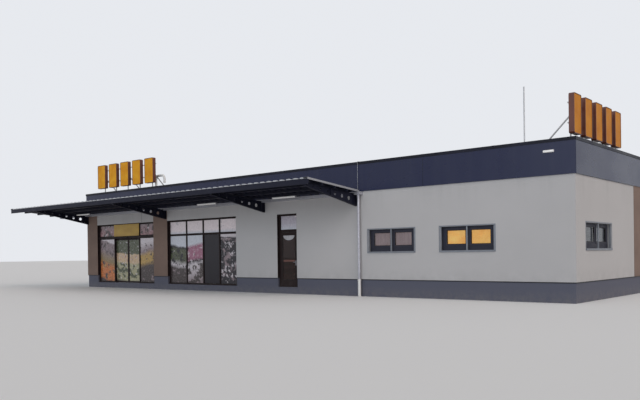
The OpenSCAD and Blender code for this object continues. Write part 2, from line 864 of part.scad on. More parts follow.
// The frame of one office window, w wide, with two sashes beside a middle bar
module office_frame(w) {
    foot = office_foot_bar - sill_t;
    translate([0, office_recess, sill_t]) {
        ring(w, office_window_h - sill_t, office_frame_t, office_side_bar, office_head_bar, foot);
        translate([(w - office_bar) / 2, 0, foot]) cube([office_bar, office_frame_t, sash_h]);
        for (x = sash_xs(w))
            translate([x, -sash_proud, foot])
                ring(sash_w(w), sash_h, office_frame_t, sash_bar, sash_bar, sash_bar);
    }
}

module office_glass(w) {
    for (x = sash_xs(w))
        pane(x + sash_bar, office_foot_bar + sash_bar, sash_w(w) - 2 * sash_bar,
            sash_h - 2 * sash_bar, office_recess - sash_proud, office_frame_t);
}

// Three blind rails that stand on the sill, which the frame stands on as well
module office_rails(w) {
    translate([0, -sill_out, 0]) cube([w, sill_out + office_recess + office_frame_t, sill_t]);
    for (x = [0, (w - rail_w) / 2, w - rail_w])
        translate([x, rail_recess, sill_t]) cube([rail_w, rail_w, office_window_h - sill_t]);
}

module office_window_frames() {
    color("black") {
        on_front(window_a_x, office_sill) office_frame(office_window_w);
        on_front(window_c_x, office_sill) office_frame(office_window_w);
        on_right(side_window_y, office_sill) office_frame(side_window_w);
    }
}

module office_window_glass() {
    color("orange", 0.6) {
        on_front(window_a_x, office_sill) office_glass(office_window_w);
        on_front(window_c_x, office_sill) office_glass(office_window_w);
        on_right(side_window_y, office_sill) office_glass(side_window_w);
    }
}

module blind_rails() {
    color("silver") {
        on_front(window_a_x, office_sill) office_rails(office_window_w);
        on_front(window_c_x, office_sill) office_rails(office_window_w);
        on_right(side_window_y, office_sill) office_rails(side_window_w);
    }
}

// Height above the ground of a point at a share of the light boxes' height
function sign_rail_z(lift, share) = coping_z + lift + sign_h * share;
// Distance along a sign, which is length long, to the middle of box i
function box_middle(length, i) = (i + 0.5) * (length + sign_gap) / sign_boxes_n - sign_gap / 2;
sign_rail_y = sign_setback + sign_t;
sign_post_y = sign_rail_y + tube_w;
sign_brace_y = sign_post_y + tube_w;

// Two tubes along the backs of the light boxes
module sign_rail_pair(length, lift) {
    for (share = [0.25, 0.75])
        translate([0, sign_rail_y, sign_rail_z(lift, share)]) cube([length, tube_w, tube_w]);
}

// A post on the roof behind the middle of each light box
module sign_post_row(length, lift) {
    for (i = [0:sign_boxes_n - 1])
        translate([box_middle(length, i) - tube_w / 2, sign_post_y, roof_z])
            cube([tube_w, tube_w, sign_rail_z(lift, 0.75) + tube_w - roof_z]);
}

// Braces that slope from the posts back to the roof
module sign_brace_row(length, lift) {
    top_z = coping_z + lift + brace_up;
    foot_y = sign_brace_y + top_z - roof_z;
    cut = tube_w * sqrt(2);
    for (b = [0:brace_count - 1]) {
        i = floor(b * (sign_boxes_n - 1) / (brace_count - 1));
        translate([box_middle(length, i) - tube_w / 2, 0, 0])
            rotate([90, 0, 90]) linear_extrude(tube_w) polygon([
                [sign_brace_y, top_z], [sign_brace_y, top_z - cut],
                [foot_y - cut, roof_z], [foot_y, roof_z]
            ]);
    }
}

module sign_box(w) {
    translate([0, sign_t, 0]) rotate([90, 0, 0]) linear_extrude(sign_t) union() {
        translate([sign_r, 0]) square([w - 2 * sign_r, sign_h]);
        translate([0, sign_r]) square([w, sign_h - 2 * sign_r]);
        for (x = [sign_r, w - sign_r], y = [sign_r, sign_h - sign_r])
            translate([x, y]) circle(r = sign_r);
    }
}

module sign_row(length, lift) {
    step = (length + sign_gap) / sign_boxes_n;
    for (i = [0:sign_boxes_n - 1])
        translate([i * step, sign_setback, coping_z + lift]) sign_box(step - sign_gap);
}

module sign_rails() {
    color("gray") {
        on_front(x_left + front_sign_x, 0) sign_rail_pair(front_sign_w, front_sign_lift);
        on_right(side_sign_y, 0) sign_rail_pair(side_sign_w, side_sign_lift);
    }
}

module sign_posts() {
    color("gray") {
        on_front(x_left + front_sign_x, 0) sign_post_row(front_sign_w, front_sign_lift);
        on_right(side_sign_y, 0) sign_post_row(side_sign_w, side_sign_lift);
    }
}

module sign_braces() {
    color("gray") {
        on_front(x_left + front_sign_x, 0) sign_brace_row(front_sign_w, front_sign_lift);
        on_right(side_sign_y, 0) sign_brace_row(side_sign_w, side_sign_lift);
    }
}

module sign_boxes() {
    color("orange") {
        on_front(x_left + front_sign_x, 0) sign_row(front_sign_w, front_sign_lift);
        on_right(side_sign_y, 0) sign_row(side_sign_w, side_sign_lift);
    }
}

module wall_lamp() {
    color("white") translate([x_right - lamp_x - lamp_w, y_front - band_proud - lamp_t, band_z + lamp_z])
        cube([lamp_w, lamp_t, lamp_h]);
}

module roof_mast() {
    color("silver") translate([x_right - mast_x, y_front + mast_y, roof_z]) {
        cylinder(d = mast_d, h = mast_h);
        cylinder(d = 4 * mast_d, h = foot_t);
    }
}

// A quarter bend of the cable neck's pipe, from level at its top down to upright on the +X side
module neck_quarter() {
    rotate([90, 0, 0]) rotate_extrude(angle = 90) translate([neck_bend, 0]) circle(r = neck_r);
}

// A pipe that leaves the roof, turns over in two bends and ends in a short leg
module roof_cable_neck() {
    bend_z = neck_h - neck_bend - neck_r;
    leg_x = 2 * neck_bend + neck_span;
    color("lightgray") translate([x_left + neck_x, y_front + neck_y, roof_z]) {
        cylinder(r = neck_r, h = bend_z);
        translate([neck_bend, 0, bend_z]) rotate([0, 0, 180]) neck_quarter();
        translate([neck_bend, 0, bend_z + neck_bend]) rotate([0, 90, 0])
            cylinder(r = neck_r, h = neck_span);
        translate([neck_bend + neck_span, 0, bend_z]) neck_quarter();
        translate([leg_x, 0, bend_z - neck_bend]) cylinder(r = neck_r, h = neck_bend);
        cylinder(r = 2 * neck_r, h = foot_t);
    }
}

floor_slab();
front_footing();
front_plinth();
right_plinth();
back_plinth();
left_plinth();
front_piers();
lintels();
front_wall_centre();
front_wall_right();
right_wall();
back_wall();
left_wall();
wall_pilasters();
parapet_front();
parapet_right();
parapet_back();
parapet_left();
coping();
roof_deck();
canopy_sheet();
canopy_purlins();
canopy_fascia();
canopy_brackets();
canopy_gutter();
downpipe();
canopy_lights();
entrance_frame();
entrance_glass();
door_operator();
entrance_sign_panel();
sliding_door_left();
sliding_glass_left();
sliding_door_right();
sliding_glass_right();
shop_window_frame();
shop_window_glass();
side_door_frame();
fanlight_glass();
side_door_leaf();
side_door_glass();
push_bar();
office_window_frames();
office_window_glass();
blind_rails();
sign_rails();
sign_posts();
sign_braces();
sign_boxes();
wall_lamp();
roof_mast();
roof_cable_neck();
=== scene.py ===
"""Looks of a single-storey supermarket building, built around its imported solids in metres."""
import math

import bmesh
import bpy
from bpy.props import FloatProperty, FloatVectorProperty, IntProperty, PointerProperty
from mathutils import Matrix, Vector


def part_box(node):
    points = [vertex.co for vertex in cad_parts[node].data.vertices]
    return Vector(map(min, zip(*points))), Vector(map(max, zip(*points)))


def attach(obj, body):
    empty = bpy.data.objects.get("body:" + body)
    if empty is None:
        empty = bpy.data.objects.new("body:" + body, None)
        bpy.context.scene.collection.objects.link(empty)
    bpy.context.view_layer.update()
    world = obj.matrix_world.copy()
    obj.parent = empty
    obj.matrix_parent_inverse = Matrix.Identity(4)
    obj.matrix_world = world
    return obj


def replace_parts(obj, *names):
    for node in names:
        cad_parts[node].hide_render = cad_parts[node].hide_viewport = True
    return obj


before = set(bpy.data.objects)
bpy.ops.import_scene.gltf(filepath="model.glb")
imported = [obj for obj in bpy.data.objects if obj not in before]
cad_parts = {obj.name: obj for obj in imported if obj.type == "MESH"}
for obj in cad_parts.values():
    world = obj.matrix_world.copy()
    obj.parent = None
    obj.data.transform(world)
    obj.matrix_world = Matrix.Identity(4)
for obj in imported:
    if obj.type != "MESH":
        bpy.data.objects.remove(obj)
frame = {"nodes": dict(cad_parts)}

bl_info = {
    "name": "Supermarket Building",
    "version": (1, 0, 0),
    "blender": (4, 5, 0),
    "location": "3D View > Sidebar > Shop",
    "description": "Dresses the solids of a supermarket building with its cladding, fittings and finishes",
    "category": "Object",
}

# Places read from the solids
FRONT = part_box("front_wall_right")[0].y
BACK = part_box("back_wall")[1].y
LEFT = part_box("left_wall")[0].x
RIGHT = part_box("right_wall")[1].x
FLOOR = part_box("floor_slab")[1].z
PLINTH_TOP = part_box("front_plinth")[1].z
PLINTH_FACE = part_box("front_plinth")[0].y
PLINTH_INSET = PLINTH_FACE - FRONT
BAND_LOW, BAND_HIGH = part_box("parapet_front")
BAND_FOOT = BAND_LOW.z
BAND_TOP = BAND_HIGH.z
PARAPET_T = BAND_HIGH.y - BAND_LOW.y
COPING_LOW, COPING_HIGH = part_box("coping")
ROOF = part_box("roof_deck")[1].z
SHEET_LOW, SHEET_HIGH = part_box("canopy_sheet")
FASCIA_LOW, FASCIA_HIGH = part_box("canopy_fascia")
GUTTER_LOW, GUTTER_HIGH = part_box("canopy_gutter")
PIPE_LOW, PIPE_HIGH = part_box("downpipe")

# Small distances that many pieces share
HAIR = 0.0006
MERGE = 0.00005

# How far the side door's leaf lies behind the wall's face, its thickness, and the fall of the coping
LEAF_IN = 0.11
LEAF_T = 0.05
COPING_FALL = 0.012

# Edges that turn by fewer degrees than this are shaded as round
ROUND_ANGLE = 20.0

# The stretch of a pattern that has none
EVEN = (1.0, 1.0, 1.0)


def colour_property(name, description, value):
    """A colour that a user may change."""
    return FloatVectorProperty(
        name=name, description=description, subtype="COLOR", size=3, min=0.0, max=1.0, default=value
    )


def length_property(name, description, value, low=0.0, high=100.0):
    """A length in metres that a user may change."""
    return FloatProperty(
        name=name, description=description, unit="LENGTH", subtype="DISTANCE", min=low, max=high,
        default=value
    )


class SHOP_PG_walls(bpy.types.PropertyGroup):
    """Colours and joints of the walls, the plinth and the band."""

    render: colour_property("Render", "Colour of the white render", (0.455, 0.447, 0.45))
    pier: colour_property("Pier", "Colour of the brown piers and pilasters", (0.20, 0.138, 0.112))
    plinth: colour_property("Plinth", "Colour of the painted plinth", (0.076, 0.080, 0.112))
    band: colour_property("Band", "Colour of the cladding on the parapet", (0.007, 0.011, 0.046))
    coping: colour_property("Coping", "Colour of the metal coping", (0.012, 0.013, 0.02))
    panels_long: IntProperty(
        name="Panels along the front", description="Number of cladding panels in the front band",
        min=1, max=20, default=5
    )
    panels_deep: IntProperty(
        name="Panels along a side", description="Number of cladding panels in a side band",
        min=1, max=20, default=4
    )
    panel_gap: length_property("Panel joint", "Open joint between cladding panels", 0.012, 0.002, 0.05)
    cap_pitch: length_property("Coping length", "Longest piece of coping", 3.0, 1.0, 6.0)


class SHOP_PG_roof(bpy.types.PropertyGroup):
    """The flat roof behind the band."""

    membrane: colour_property("Membrane", "Colour of the roofing membrane", (0.30, 0.30, 0.305))
    roll_width: length_property("Roll width", "Width of a roll of membrane", 1.5, 0.8, 3.0)
    upstand: length_property("Upstand", "Height of the membrane against the parapet", 0.62, 0.2, 0.75)


class SHOP_PG_canopy(bpy.types.PropertyGroup):
    """The canopy, its steel, its gutter and its lights."""

    steel: colour_property("Steel", "Colour of the painted canopy steel", (0.007, 0.008, 0.020))
    sheet: colour_property("Sheet", "Colour of the roof sheet's upper side", (0.46, 0.47, 0.50))
    zinc: colour_property("Zinc", "Colour of the gutter and the downpipe", (0.48, 0.485, 0.54))
    strap_pitch: length_property("Strap spacing", "Spacing of the straps over the gutter", 0.9, 0.4, 2.0)
    bolt: length_property("Bolt size", "Width of a bolt head across its flats", 0.03, 0.01, 0.05)


class SHOP_PG_openings(bpy.types.PropertyGroup):
    """Doors and windows."""

    frame: colour_property("Frames", "Colour of the door and window frames", (0.019, 0.012, 0.012))
    glass: colour_property("Glass", "Tint of the clear glass", (0.50, 0.53, 0.56))
    lit: colour_property("Lit blind", "Colour of the blind in the lit office", (1.0, 0.40, 0.07))
    blind: colour_property("Blind", "Colour of the other blinds", (0.42, 0.30, 0.29))
    lit_strength: FloatProperty(
        name="Office light", description="Brightness of the blind in the lit office",
        min=0.0, max=3.0, default=1.05
    )
    edge: length_property("Edge radius", "Rounding of the frames' edges", 0.003, 0.001, 0.008)


class SHOP_PG_signs(bpy.types.PropertyGroup):
    """The two rows of light boxes on the roof."""

    face: colour_property("Faces", "Colour of the light boxes' faces", (0.74, 0.37, 0.026))
    returns: colour_property("Returns", "Colour of the light boxes' sides", (0.115, 0.022, 0.008))
    steel: colour_property("Frames", "Colour of the steel behind the light boxes", (0.40, 0.39, 0.39))


class SHOP_PG_stage(bpy.types.PropertyGroup):
    """Floor, light and background."""

    ground: colour_property("Floor", "Colour of the stage's floor", (0.78, 0.78, 0.78))
    backdrop: colour_property("Background", "Colour behind the building", (0.80, 0.82, 0.86))
    sky: FloatProperty(
        name="Sky light", description="Strength of the even light from the sky", min=0.0, max=3.0,
        default=0.38
    )
    side: FloatProperty(
        name="Side light", description="Strength of the soft warm light from the right", min=0.0, max=6.0,
        default=1.28
    )
    fill: FloatProperty(
        name="Front light", description="Strength of the low soft light from the front", min=0.0, max=6.0,
        default=1.2
    )
    softness: FloatProperty(
        name="Softness", description="Width of the lights in degrees, which softens their shadows",
        min=1.0, max=90.0, default=50.0
    )


GROUPS = {
    "shop_walls": SHOP_PG_walls,
    "shop_roof": SHOP_PG_roof,
    "shop_canopy": SHOP_PG_canopy,
    "shop_openings": SHOP_PG_openings,
    "shop_signs": SHOP_PG_signs,
    "shop_stage": SHOP_PG_stage,
}


class Finish:
    """A node material that is built up step by step around one shader."""

    def __init__(self, name, colour, roughness, metallic=0.0):
        self.material = bpy.data.materials.new(name)
        self.material.use_nodes = True
        self.nodes = self.material.node_tree.nodes
        self.links = self.material.node_tree.links
        self.shader = self.nodes["Principled BSDF"]
        self.colour = (*colour, 1.0)
        self.set("Base Color", self.colour)
        self.set("Roughness", roughness)
        self.set("Metallic", metallic)
        self.place = self.nodes.new("ShaderNodeTexCoord").outputs["Object"]

    def set(self, socket, value):
        """Sets one of the shader's own sockets to a value."""
        self.shader.inputs[socket].default_value = value

    def join(self, output, socket):
        """Leads an output into one of the shader's sockets."""
        self.links.new(output, self.shader.inputs[socket])

    def stretched(self, scale):
        """Object coordinates, scaled along each axis."""
        node = self.nodes.new("ShaderNodeMapping")
        node.inputs["Scale"].default_value = scale
        self.links.new(self.place, node.inputs["Vector"])
        return node.outputs["Vector"]

    def noise(self, scale, stretch=EVEN, detail=4.0, roughness=0.55):
        """A cloudy pattern from 0 to 1, with about scale spots to the metre."""
        node = self.nodes.new("ShaderNodeTexNoise")
        node.inputs["Scale"].default_value = scale
        node.inputs["Detail"].default_value = detail
        node.inputs["Roughness"].default_value = roughness
        self.links.new(self.stretched(stretch), node.inputs["Vector"])
        return node.outputs[0]

    def cells(self, scale, output="Distance"):
        """A pattern of cells, about scale of them to the metre."""
        node = self.nodes.new("ShaderNodeTexVoronoi")
        node.inputs["Scale"].default_value = scale
        self.links.new(self.place, node.inputs["Vector"])
        return node.outputs[output]

    def height(self, axis="Z"):
        """Distance along one of the frame's axes."""
        node = self.nodes.new("ShaderNodeSeparateXYZ")
        self.links.new(self.place, node.inputs[0])
        return node.outputs[axis]

    def spread(self, value, start, end, low=0.0, high=1.0):
        """Maps start to low and end to high, and holds both beyond them."""
        node = self.nodes.new("ShaderNodeMapRange")
        self.links.new(value, node.inputs["Value"])
        for socket, number in (("From Min", start), ("From Max", end), ("To Min", low), ("To Max", high)):
            node.inputs[socket].default_value = number
        return node.outputs["Result"]

    def sum(self, first, second, how="ADD"):
        """Two values, or a value and a number, put together."""
        node = self.nodes.new("ShaderNodeMath")
        node.operation = how
        for socket, value in zip(node.inputs, (first, second)):
            if isinstance(value, (int, float)):
                socket.default_value = value
            else:
                self.links.new(value, socket)
        return node.outputs[0]

    def mixed(self, share, first, second):
        """A colour between two colours, each a colour or an output."""
        node = self.nodes.new("ShaderNodeMix")
        node.data_type = "RGBA"
        self.links.new(share, node.inputs[0])
        for index, value in ((6, first), (7, second)):
            if isinstance(value, bpy.types.NodeSocket):
                self.links.new(value, node.inputs[index])
            else:
                node.inputs[index].default_value = (*value[:3], 1.0)
        return node.outputs[2]

    def ramp(self, value, stops):
        """A colour that runs through stops, each a place from 0 to 1 and a colour."""
        node = self.nodes.new("ShaderNodeValToRGB")
        self.links.new(value, node.inputs[0])
        marks = node.color_ramp.elements
        for mark, (place, colour) in zip((marks[0], marks[1]), (stops[0], stops[-1])):
            mark.position = place
            mark.color = (*colour, 1.0)
        for place, colour in stops[1:-1]:
            marks.new(place).color = (*colour, 1.0)
        return node.outputs[0]

    def shade(self, share, amount):
        """The base colour, darkened by amount where share is 1."""
        dark = [channel * (1.0 - amount) for channel in self.colour[:3]]
        return self.mixed(share, self.colour, dark)

    def bump(self, value, depth):
        """Raises the surface by up to depth metres where value is 1."""
        node = self.nodes.new("ShaderNodeBump")
        node.inputs["Distance"].default_value = depth
        node.inputs["Strength"].default_value = 1.0
        self.links.new(value, node.inputs["Height"])
        self.join(node.outputs["Normal"], "Normal")

    def tone(self, pattern, start, end, other, most=1.0):
        """Leads the base colour to another one, or darkens it by an amount, as a noise rises."""
        share = self.spread(self.noise(*pattern), start, end, 0.0, most)
        if isinstance(other, float):
            self.join(self.shade(share, other), "Base Color")
        else:
            self.join(self.mixed(share, self.colour, other), "Base Color")

    def gloss(self, pattern, low, high, start=0.3, end=0.7):
        """Leads the roughness from low to high as a noise rises."""
        self.join(self.spread(self.noise(*pattern), start, end, low, high), "Roughness")

    def glow(self, colour, strength):
        """Gives off light of a colour, or of the base colour where that is None."""
        self.set("Emission Color", (*colour, 1.0) if colour else self.colour)
        self.set("Emission Strength", strength)


def settings(name):
    """One of the property groups on the scene."""
    return getattr(bpy.context.scene, name)


FINISHES = {}


def finish(name):
    """A finish by name, made the first time that it is asked for."""
    if name not in FINISHES:
        if name in PAINTED_REFLECTION_FILMS:
            made = make_painted_reflection_film(name)
        elif name in RECIPES:
            made = make_from_recipe(name)
        else:
            made = MAKERS[name]()
        FINISHES[name] = made.material
    return FINISHES[name]


# Finishes that follow one recipe. The colour is three numbers, or a property group and a setting in it. A
# pattern is a noise's scale, stretch, detail and roughness. The last number of each grain is its depth.
RECIPES = {
    "band_cladding": dict(
        colour=("shop_walls", "band"), rough=0.28, specular=0.36,
        tone=((2.0, (1.0, 1.0, 0.08)), 0.42, 0.8, (0.028, 0.033, 0.062), 0.4),
        gloss=((0.5, (1.0, 1.0, 2.0)), 0.23, 0.34), grain=((260.0, EVEN, 2.0), 0.0002),
    ),
    "coping_metal": dict(
        colour=("shop_walls", "coping"), rough=0.38, specular=0.12,
        tone=((1.4, EVEN, 5.0), 0.45, 0.8, (0.022, 0.023, 0.040)),
        gloss=((1.4, EVEN, 5.0), 0.3, 0.5), grain=((6.0, EVEN, 2.0), 0.0006),
    ),
    "roof_membrane": dict(
        colour=("shop_roof", "membrane"), rough=0.8,
        tone=((0.28, EVEN, 6.0, 0.6), 0.42, 0.66, 0.32),
        gloss=((0.28, EVEN, 6.0, 0.6), 0.86, 0.6, 0.4, 0.6), grain=((160.0, EVEN, 2.0), 0.0008),
    ),
    "roof_sheet_top": dict(
        colour=("shop_canopy", "sheet"), rough=0.36, metal=0.35,
        tone=((1.6, (3.0, 0.25, 1.0), 5.0), 0.45, 0.75, 0.3),
        gloss=((1.6, (3.0, 0.25, 1.0), 5.0), 0.32, 0.55, 0.45, 0.75), grain=((7.0, EVEN, 2.0), 0.0006),
    ),
    # The canopy sheet's underside gets a near-black finish of its own, which paints the shade under the
    # canopy
    "roof_sheet_soffit": dict(
        colour=(0.007, 0.008, 0.020), rough=0.6, specular=0.15,
        tone=((1.2, (3.0, 0.4, 1.0)), 0.4, 0.75, (0.013, 0.014, 0.030)),
        gloss=((1.2, (3.0, 0.4, 1.0)), 0.5, 0.7), grain=((8.0, EVEN, 2.0), 0.0004),
    ),
    "canopy_steel": dict(
        colour=("shop_canopy", "steel"), rough=0.5, specular=0.2,
        tone=((3.0, (0.3, 1.0, 1.0), 5.0), 0.45, 0.8, (0.020, 0.021, 0.034), 0.5),
        gloss=((2.2,), 0.42, 0.6), grain=((220.0, EVEN, 2.0), 0.0003),
    ),
    "lamp_white": dict(
        colour=(0.80, 0.80, 0.80), rough=0.3, glow=((1.0, 0.98, 0.94), 0.12),
        tone=((9.0,), 0.4, 0.8, 0.12), grain=((80.0, (1.0, 0.02, 1.0), 1.0), 0.0004),
    ),
    # The push bar gives off a weak light as painted light, for the light that reaches it in the shaded
    # doorway
    "bar_enamel": dict(
        colour=(0.62, 0.58, 0.55), rough=0.42, glow=((0.95, 1.0, 1.0), 0.33),
        tone=((9.0, (0.3, 1.0, 1.0), 5.0), 0.45, 0.75, 0.2),
        gloss=((9.0, (0.3, 1.0, 1.0), 5.0), 0.38, 0.55, 0.45, 0.75), grain=((140.0, EVEN, 2.0), 0.0003),
    ),
    "rubber": dict(
        colour=(0.012, 0.012, 0.012), rough=0.75,
        gloss=((50.0,), 0.65, 0.85), grain=((200.0, EVEN, 2.0), 0.0003),
    ),
    "bare_aluminium": dict(
        colour=(0.39, 0.385, 0.42), rough=0.38, metal=0.55, tone=((7.0,), 0.4, 0.8, 0.2),
        gloss=((90.0, (0.05, 1.0, 1.0), 3.0, 0.7), 0.3, 0.48),
        grain=((90.0, (0.05, 1.0, 1.0), 3.0, 0.7), 0.0002),
    ),
    "guide_rail": dict(
        colour=(0.20, 0.215, 0.245), rough=0.45, metal=0.3, tone=((7.0,), 0.4, 0.8, 0.2),
        gloss=((90.0, (1.0, 1.0, 0.05), 3.0, 0.7), 0.36, 0.52),
        grain=((90.0, (1.0, 1.0, 0.05), 3.0, 0.7), 0.0002),
    ),
    "sign_yellow": dict(
        colour=(0.46, 0.29, 0.045), rough=0.36,
        tone=((1.1, (1.0, 1.0, 2.5)), 0.35, 0.7, (0.36, 0.21, 0.030)),
        gloss=((6.0,), 0.3, 0.46), grain=((120.0, EVEN, 2.0), 0.0002),
    ),
    "sign_return": dict(
        colour=("shop_signs", "returns"), rough=0.4,
        tone=((4.0, (1.0, 1.0, 0.2), 5.0), 0.4, 0.75, (0.055, 0.014, 0.008)),
        gloss=((4.0, (1.0, 1.0, 0.2), 5.0), 0.34, 0.5, 0.4, 0.75), grain=((180.0, EVEN, 2.0), 0.0003),
    ),
    "sign_steel": dict(
        colour=("shop_signs", "steel"), rough=0.45, metal=0.3,
        tone=((13.0, EVEN, 6.0, 0.7), 0.6, 0.72, (0.13, 0.055, 0.025)), grain=((70.0,), 0.0004),
    ),
    "starter_trim": dict(
        colour=(0.018, 0.019, 0.024), rough=0.6, metal=0.2,
        gloss=((8.0,), 0.5, 0.7), grain=((60.0,), 0.0002),
    ),
    # The blind gives off light of its own colour as painted light, for the light that falls on it behind the
    # glass
    "blind_cloth": dict(
        colour=("shop_openings", "blind"), rough=0.85, glow=(None, 0.55),
        tone=((3.0, (4.0, 4.0, 0.5)), 0.35, 0.7, 0.3), grain=((260.0, (1.0, 1.0, 0.2), 2.0), 0.0004),
    ),
    # The slats give off light of their own colour as painted light, for the light that falls on them behind
    # the glass
    "slat_cloth": dict(
        colour=(0.12, 0.11, 0.115), rough=0.8, glow=(None, 0.2),
        tone=((4.0, (6.0, 6.0, 0.3)), 0.35, 0.7, 0.3), grain=((260.0, (1.0, 1.0, 0.2), 2.0), 0.0004),
    ),
    # A pale film at the head of the side door's glass, which is a painted reflection of glare
    "frost_film": dict(
        colour=(0.41, 0.40, 0.42), rough=0.55,
        tone=((7.0, EVEN, 3.0), 0.4, 0.75, 0.35), grain=((90.0, EVEN, 2.0), 0.0002),
    ),
    # A near-black glossy film on a shop pane, painted shade for the dark room behind it
    "dark_film": dict(
        colour=(0.016, 0.014, 0.020), rough=0.16, specular=0.3,
        gloss=((4.0,), 0.13, 0.24), grain=((1.1, EVEN, 2.0), 0.0012),
    ),
}


def make_from_recipe(name):
    """A finish whose colour and roughness follow noises, with a grain on its surface."""
    row = RECIPES[name]
    colour = row["colour"]
    if len(colour) == 2:
        group, item = colour
        colour = getattr(settings(group), item)
    made = Finish(name, colour, row["rough"], row.get("metal", 0.0))
    if "specular" in row:
        made.set("Specular IOR Level", row["specular"])
    if "glow" in row:
        made.glow(*row["glow"])
    if "tone" in row:
        made.tone(*row["tone"])
    if "gloss" in row:
        made.gloss(*row["gloss"])
    pattern, depth = row["grain"]
    made.bump(made.noise(*pattern), depth)
    return made


def make_white_render():
    made = Finish("white_render", settings("shop_walls").render, 0.88)
    grain = made.noise(120.0, detail=3.0, roughness=0.7)
    clouds = made.noise(0.35, (1.0, 1.0, 1.6), 5.0)
    runs = made.noise(2.2, (1.0, 1.0, 0.06), 4.0, 0.6)
    under_band = made.spread(made.height(), BAND_FOOT - 0.9, BAND_FOOT, 0.0, 1.0)
    splash = made.spread(made.height(), PLINTH_TOP + 0.5, PLINTH_TOP, 0.0, 1.0)
    streaks = made.sum(made.spread(runs, 0.48, 0.7), under_band, "MULTIPLY")
    low_dirt = made.sum(made.spread(made.noise(3.0), 0.35, 0.7), splash, "MULTIPLY")
    dirt = made.sum(made.sum(streaks, 0.55, "MULTIPLY"), made.sum(low_dirt, 0.6, "MULTIPLY"))
    dirt = made.sum(dirt, made.spread(clouds, 0.35, 0.75, 0.0, 0.35))
    made.join(made.shade(dirt, 0.17), "Base Color")
    made.join(made.spread(grain, 0.3, 0.7, 0.82, 0.95), "Roughness")
    made.bump(grain, 0.0012)
    return made


def make_brown_render():
    made = Finish("brown_render", settings("shop_walls").pier, 0.9)
    grain = made.noise(140.0, detail=3.0, roughness=0.7)
    clouds = made.noise(0.9, (1.0, 1.0, 1.3), 5.0)
    foot = made.spread(made.height(), PLINTH_TOP + 0.35, PLINTH_TOP, 0.0, 0.8)
    dirt = made.sum(made.spread(clouds, 0.35, 0.7), foot, "MAXIMUM")
    made.join(made.shade(dirt, 0.2), "Base Color")
    made.bump(grain, 0.0015)
    return made


def make_plinth_paint():
    made = Finish("plinth_paint", settings("shop_walls").plinth, 0.72)
    grain = made.noise(90.0, detail=3.0, roughness=0.7)
    splash = made.spread(made.height(), 0.42, 0.0, 0.0, 1.0)
    spots = made.spread(made.noise(5.0, detail=6.0, roughness=0.7), 0.35, 0.62)
    dust = made.sum(made.sum(splash, spots, "MULTIPLY"), 0.55, "MULTIPLY")
    made.join(made.mixed(dust, made.colour, (0.15, 0.142, 0.145)), "Base Color")
    made.join(made.spread(grain, 0.3, 0.7, 0.62, 0.82), "Roughness")
    made.bump(grain, 0.001)
    return made


def make_concrete():
    made = Finish("concrete", (0.30, 0.295, 0.28), 0.7)
    clouds = made.noise(1.1, detail=7.0, roughness=0.65)
    pores = made.cells(45.0)
    made.join(made.shade(made.spread(clouds, 0.35, 0.7), 0.3), "Base Color")
    made.bump(made.spread(pores, 0.0, 0.35), 0.0008)
    return made


def make_zinc():
    made = Finish("zinc", settings("shop_canopy").zinc, 0.5, 0.45)
    bloom = made.cells(38.0, output="Color")
    grey = made.spread(bloom, 0.2, 0.8)
    made.join(made.shade(grey, 0.22), "Base Color")
    made.join(made.spread(made.noise(14.0), 0.3, 0.7, 0.42, 0.62), "Roughness")
    made.bump(made.noise(22.0, detail=3.0), 0.0003)
    return made


def make_standpipe():
    made = Finish("standpipe_paint", (0.66, 0.66, 0.65), 0.45)
    scuffs = made.spread(made.noise(26.0, (1.0, 1.0, 0.4), 5.0), 0.5, 0.75)
    splash = made.spread(made.height(), 0.3, 0.0, 0.0, 1.0)
    dirt = made.sum(scuffs, splash, "MULTIPLY")
    made.join(made.mixed(dirt, made.colour, (0.24, 0.21, 0.18)), "Base Color")
    made.bump(made.noise(60.0), 0.0004)
    return made


def make_coated_frame(name, colour):
    made = Finish(name, colour, 0.5)
    peel = made.noise(300.0, detail=2.0)
    dust = made.spread(made.noise(5.0, detail=5.0), 0.45, 0.8, 0.0, 0.6)
    low = made.spread(made.height(), FLOOR + 0.4, FLOOR, 0.15, 1.0)
    made.set("Specular IOR Level", 0.12)
    made.join(made.mixed(made.sum(dust, low, "MULTIPLY"), made.colour, (0.06, 0.05, 0.047)), "Base Color")
    made.join(made.spread(made.noise(3.0), 0.3, 0.7, 0.4, 0.55), "Roughness")
    made.bump(peel, 0.0002)
    return made


def make_frame_aluminium():
    return make_coated_frame("frame_aluminium", settings("shop_openings").frame)


def make_office_frame():
    return make_coated_frame("office_frame", (0.036, 0.037, 0.052))


def make_glass(name, tint, roughness=0.02, transmission=1.0):
    made = Finish(name, tint, roughness)
    made.set("IOR", 1.35)
    made.set("Transmission Weight", transmission)
    smears = made.spread(made.noise(2.6, (1.0, 1.0, 0.5), 5.0), 0.45, 0.8)
    made.join(made.spread(smears, 0.0, 1.0, roughness, roughness + 0.05), "Roughness")
    made.join(made.shade(smears, 0.1), "Base Color")
    made.bump(made.noise(1.1, detail=2.0), 0.0012)
    return made


def make_clear_glass():
    return make_glass("clear_glass", settings("shop_openings").glass)


def make_brown_glass():
    return make_glass("brown_glass", (0.24, 0.115, 0.10), 0.03, 0.95)


def make_sign_face():
    made = Finish("sign_face", settings("shop_signs").face, 0.4)
    glow = made.spread(made.noise(1.6, detail=3.0), 0.32, 0.7)
    front = made.mixed(glow, made.colour, (0.60, 0.235, 0.016))
    # The faces on the right side are painted darker than those on the front, as painted shade on that side
    right = made.mixed(glow, (0.56, 0.22, 0.010), (0.46, 0.16, 0.006))
    made.join(made.mixed(made.spread(made.height("X"), 0.0, 1.0), front, right), "Base Color")
    made.join(made.spread(made.noise(9.0), 0.3, 0.7, 0.34, 0.5), "Roughness")
    made.set("Specular IOR Level", 0.06)
    made.bump(made.noise(14.0, detail=2.0), 0.0006)
    return made


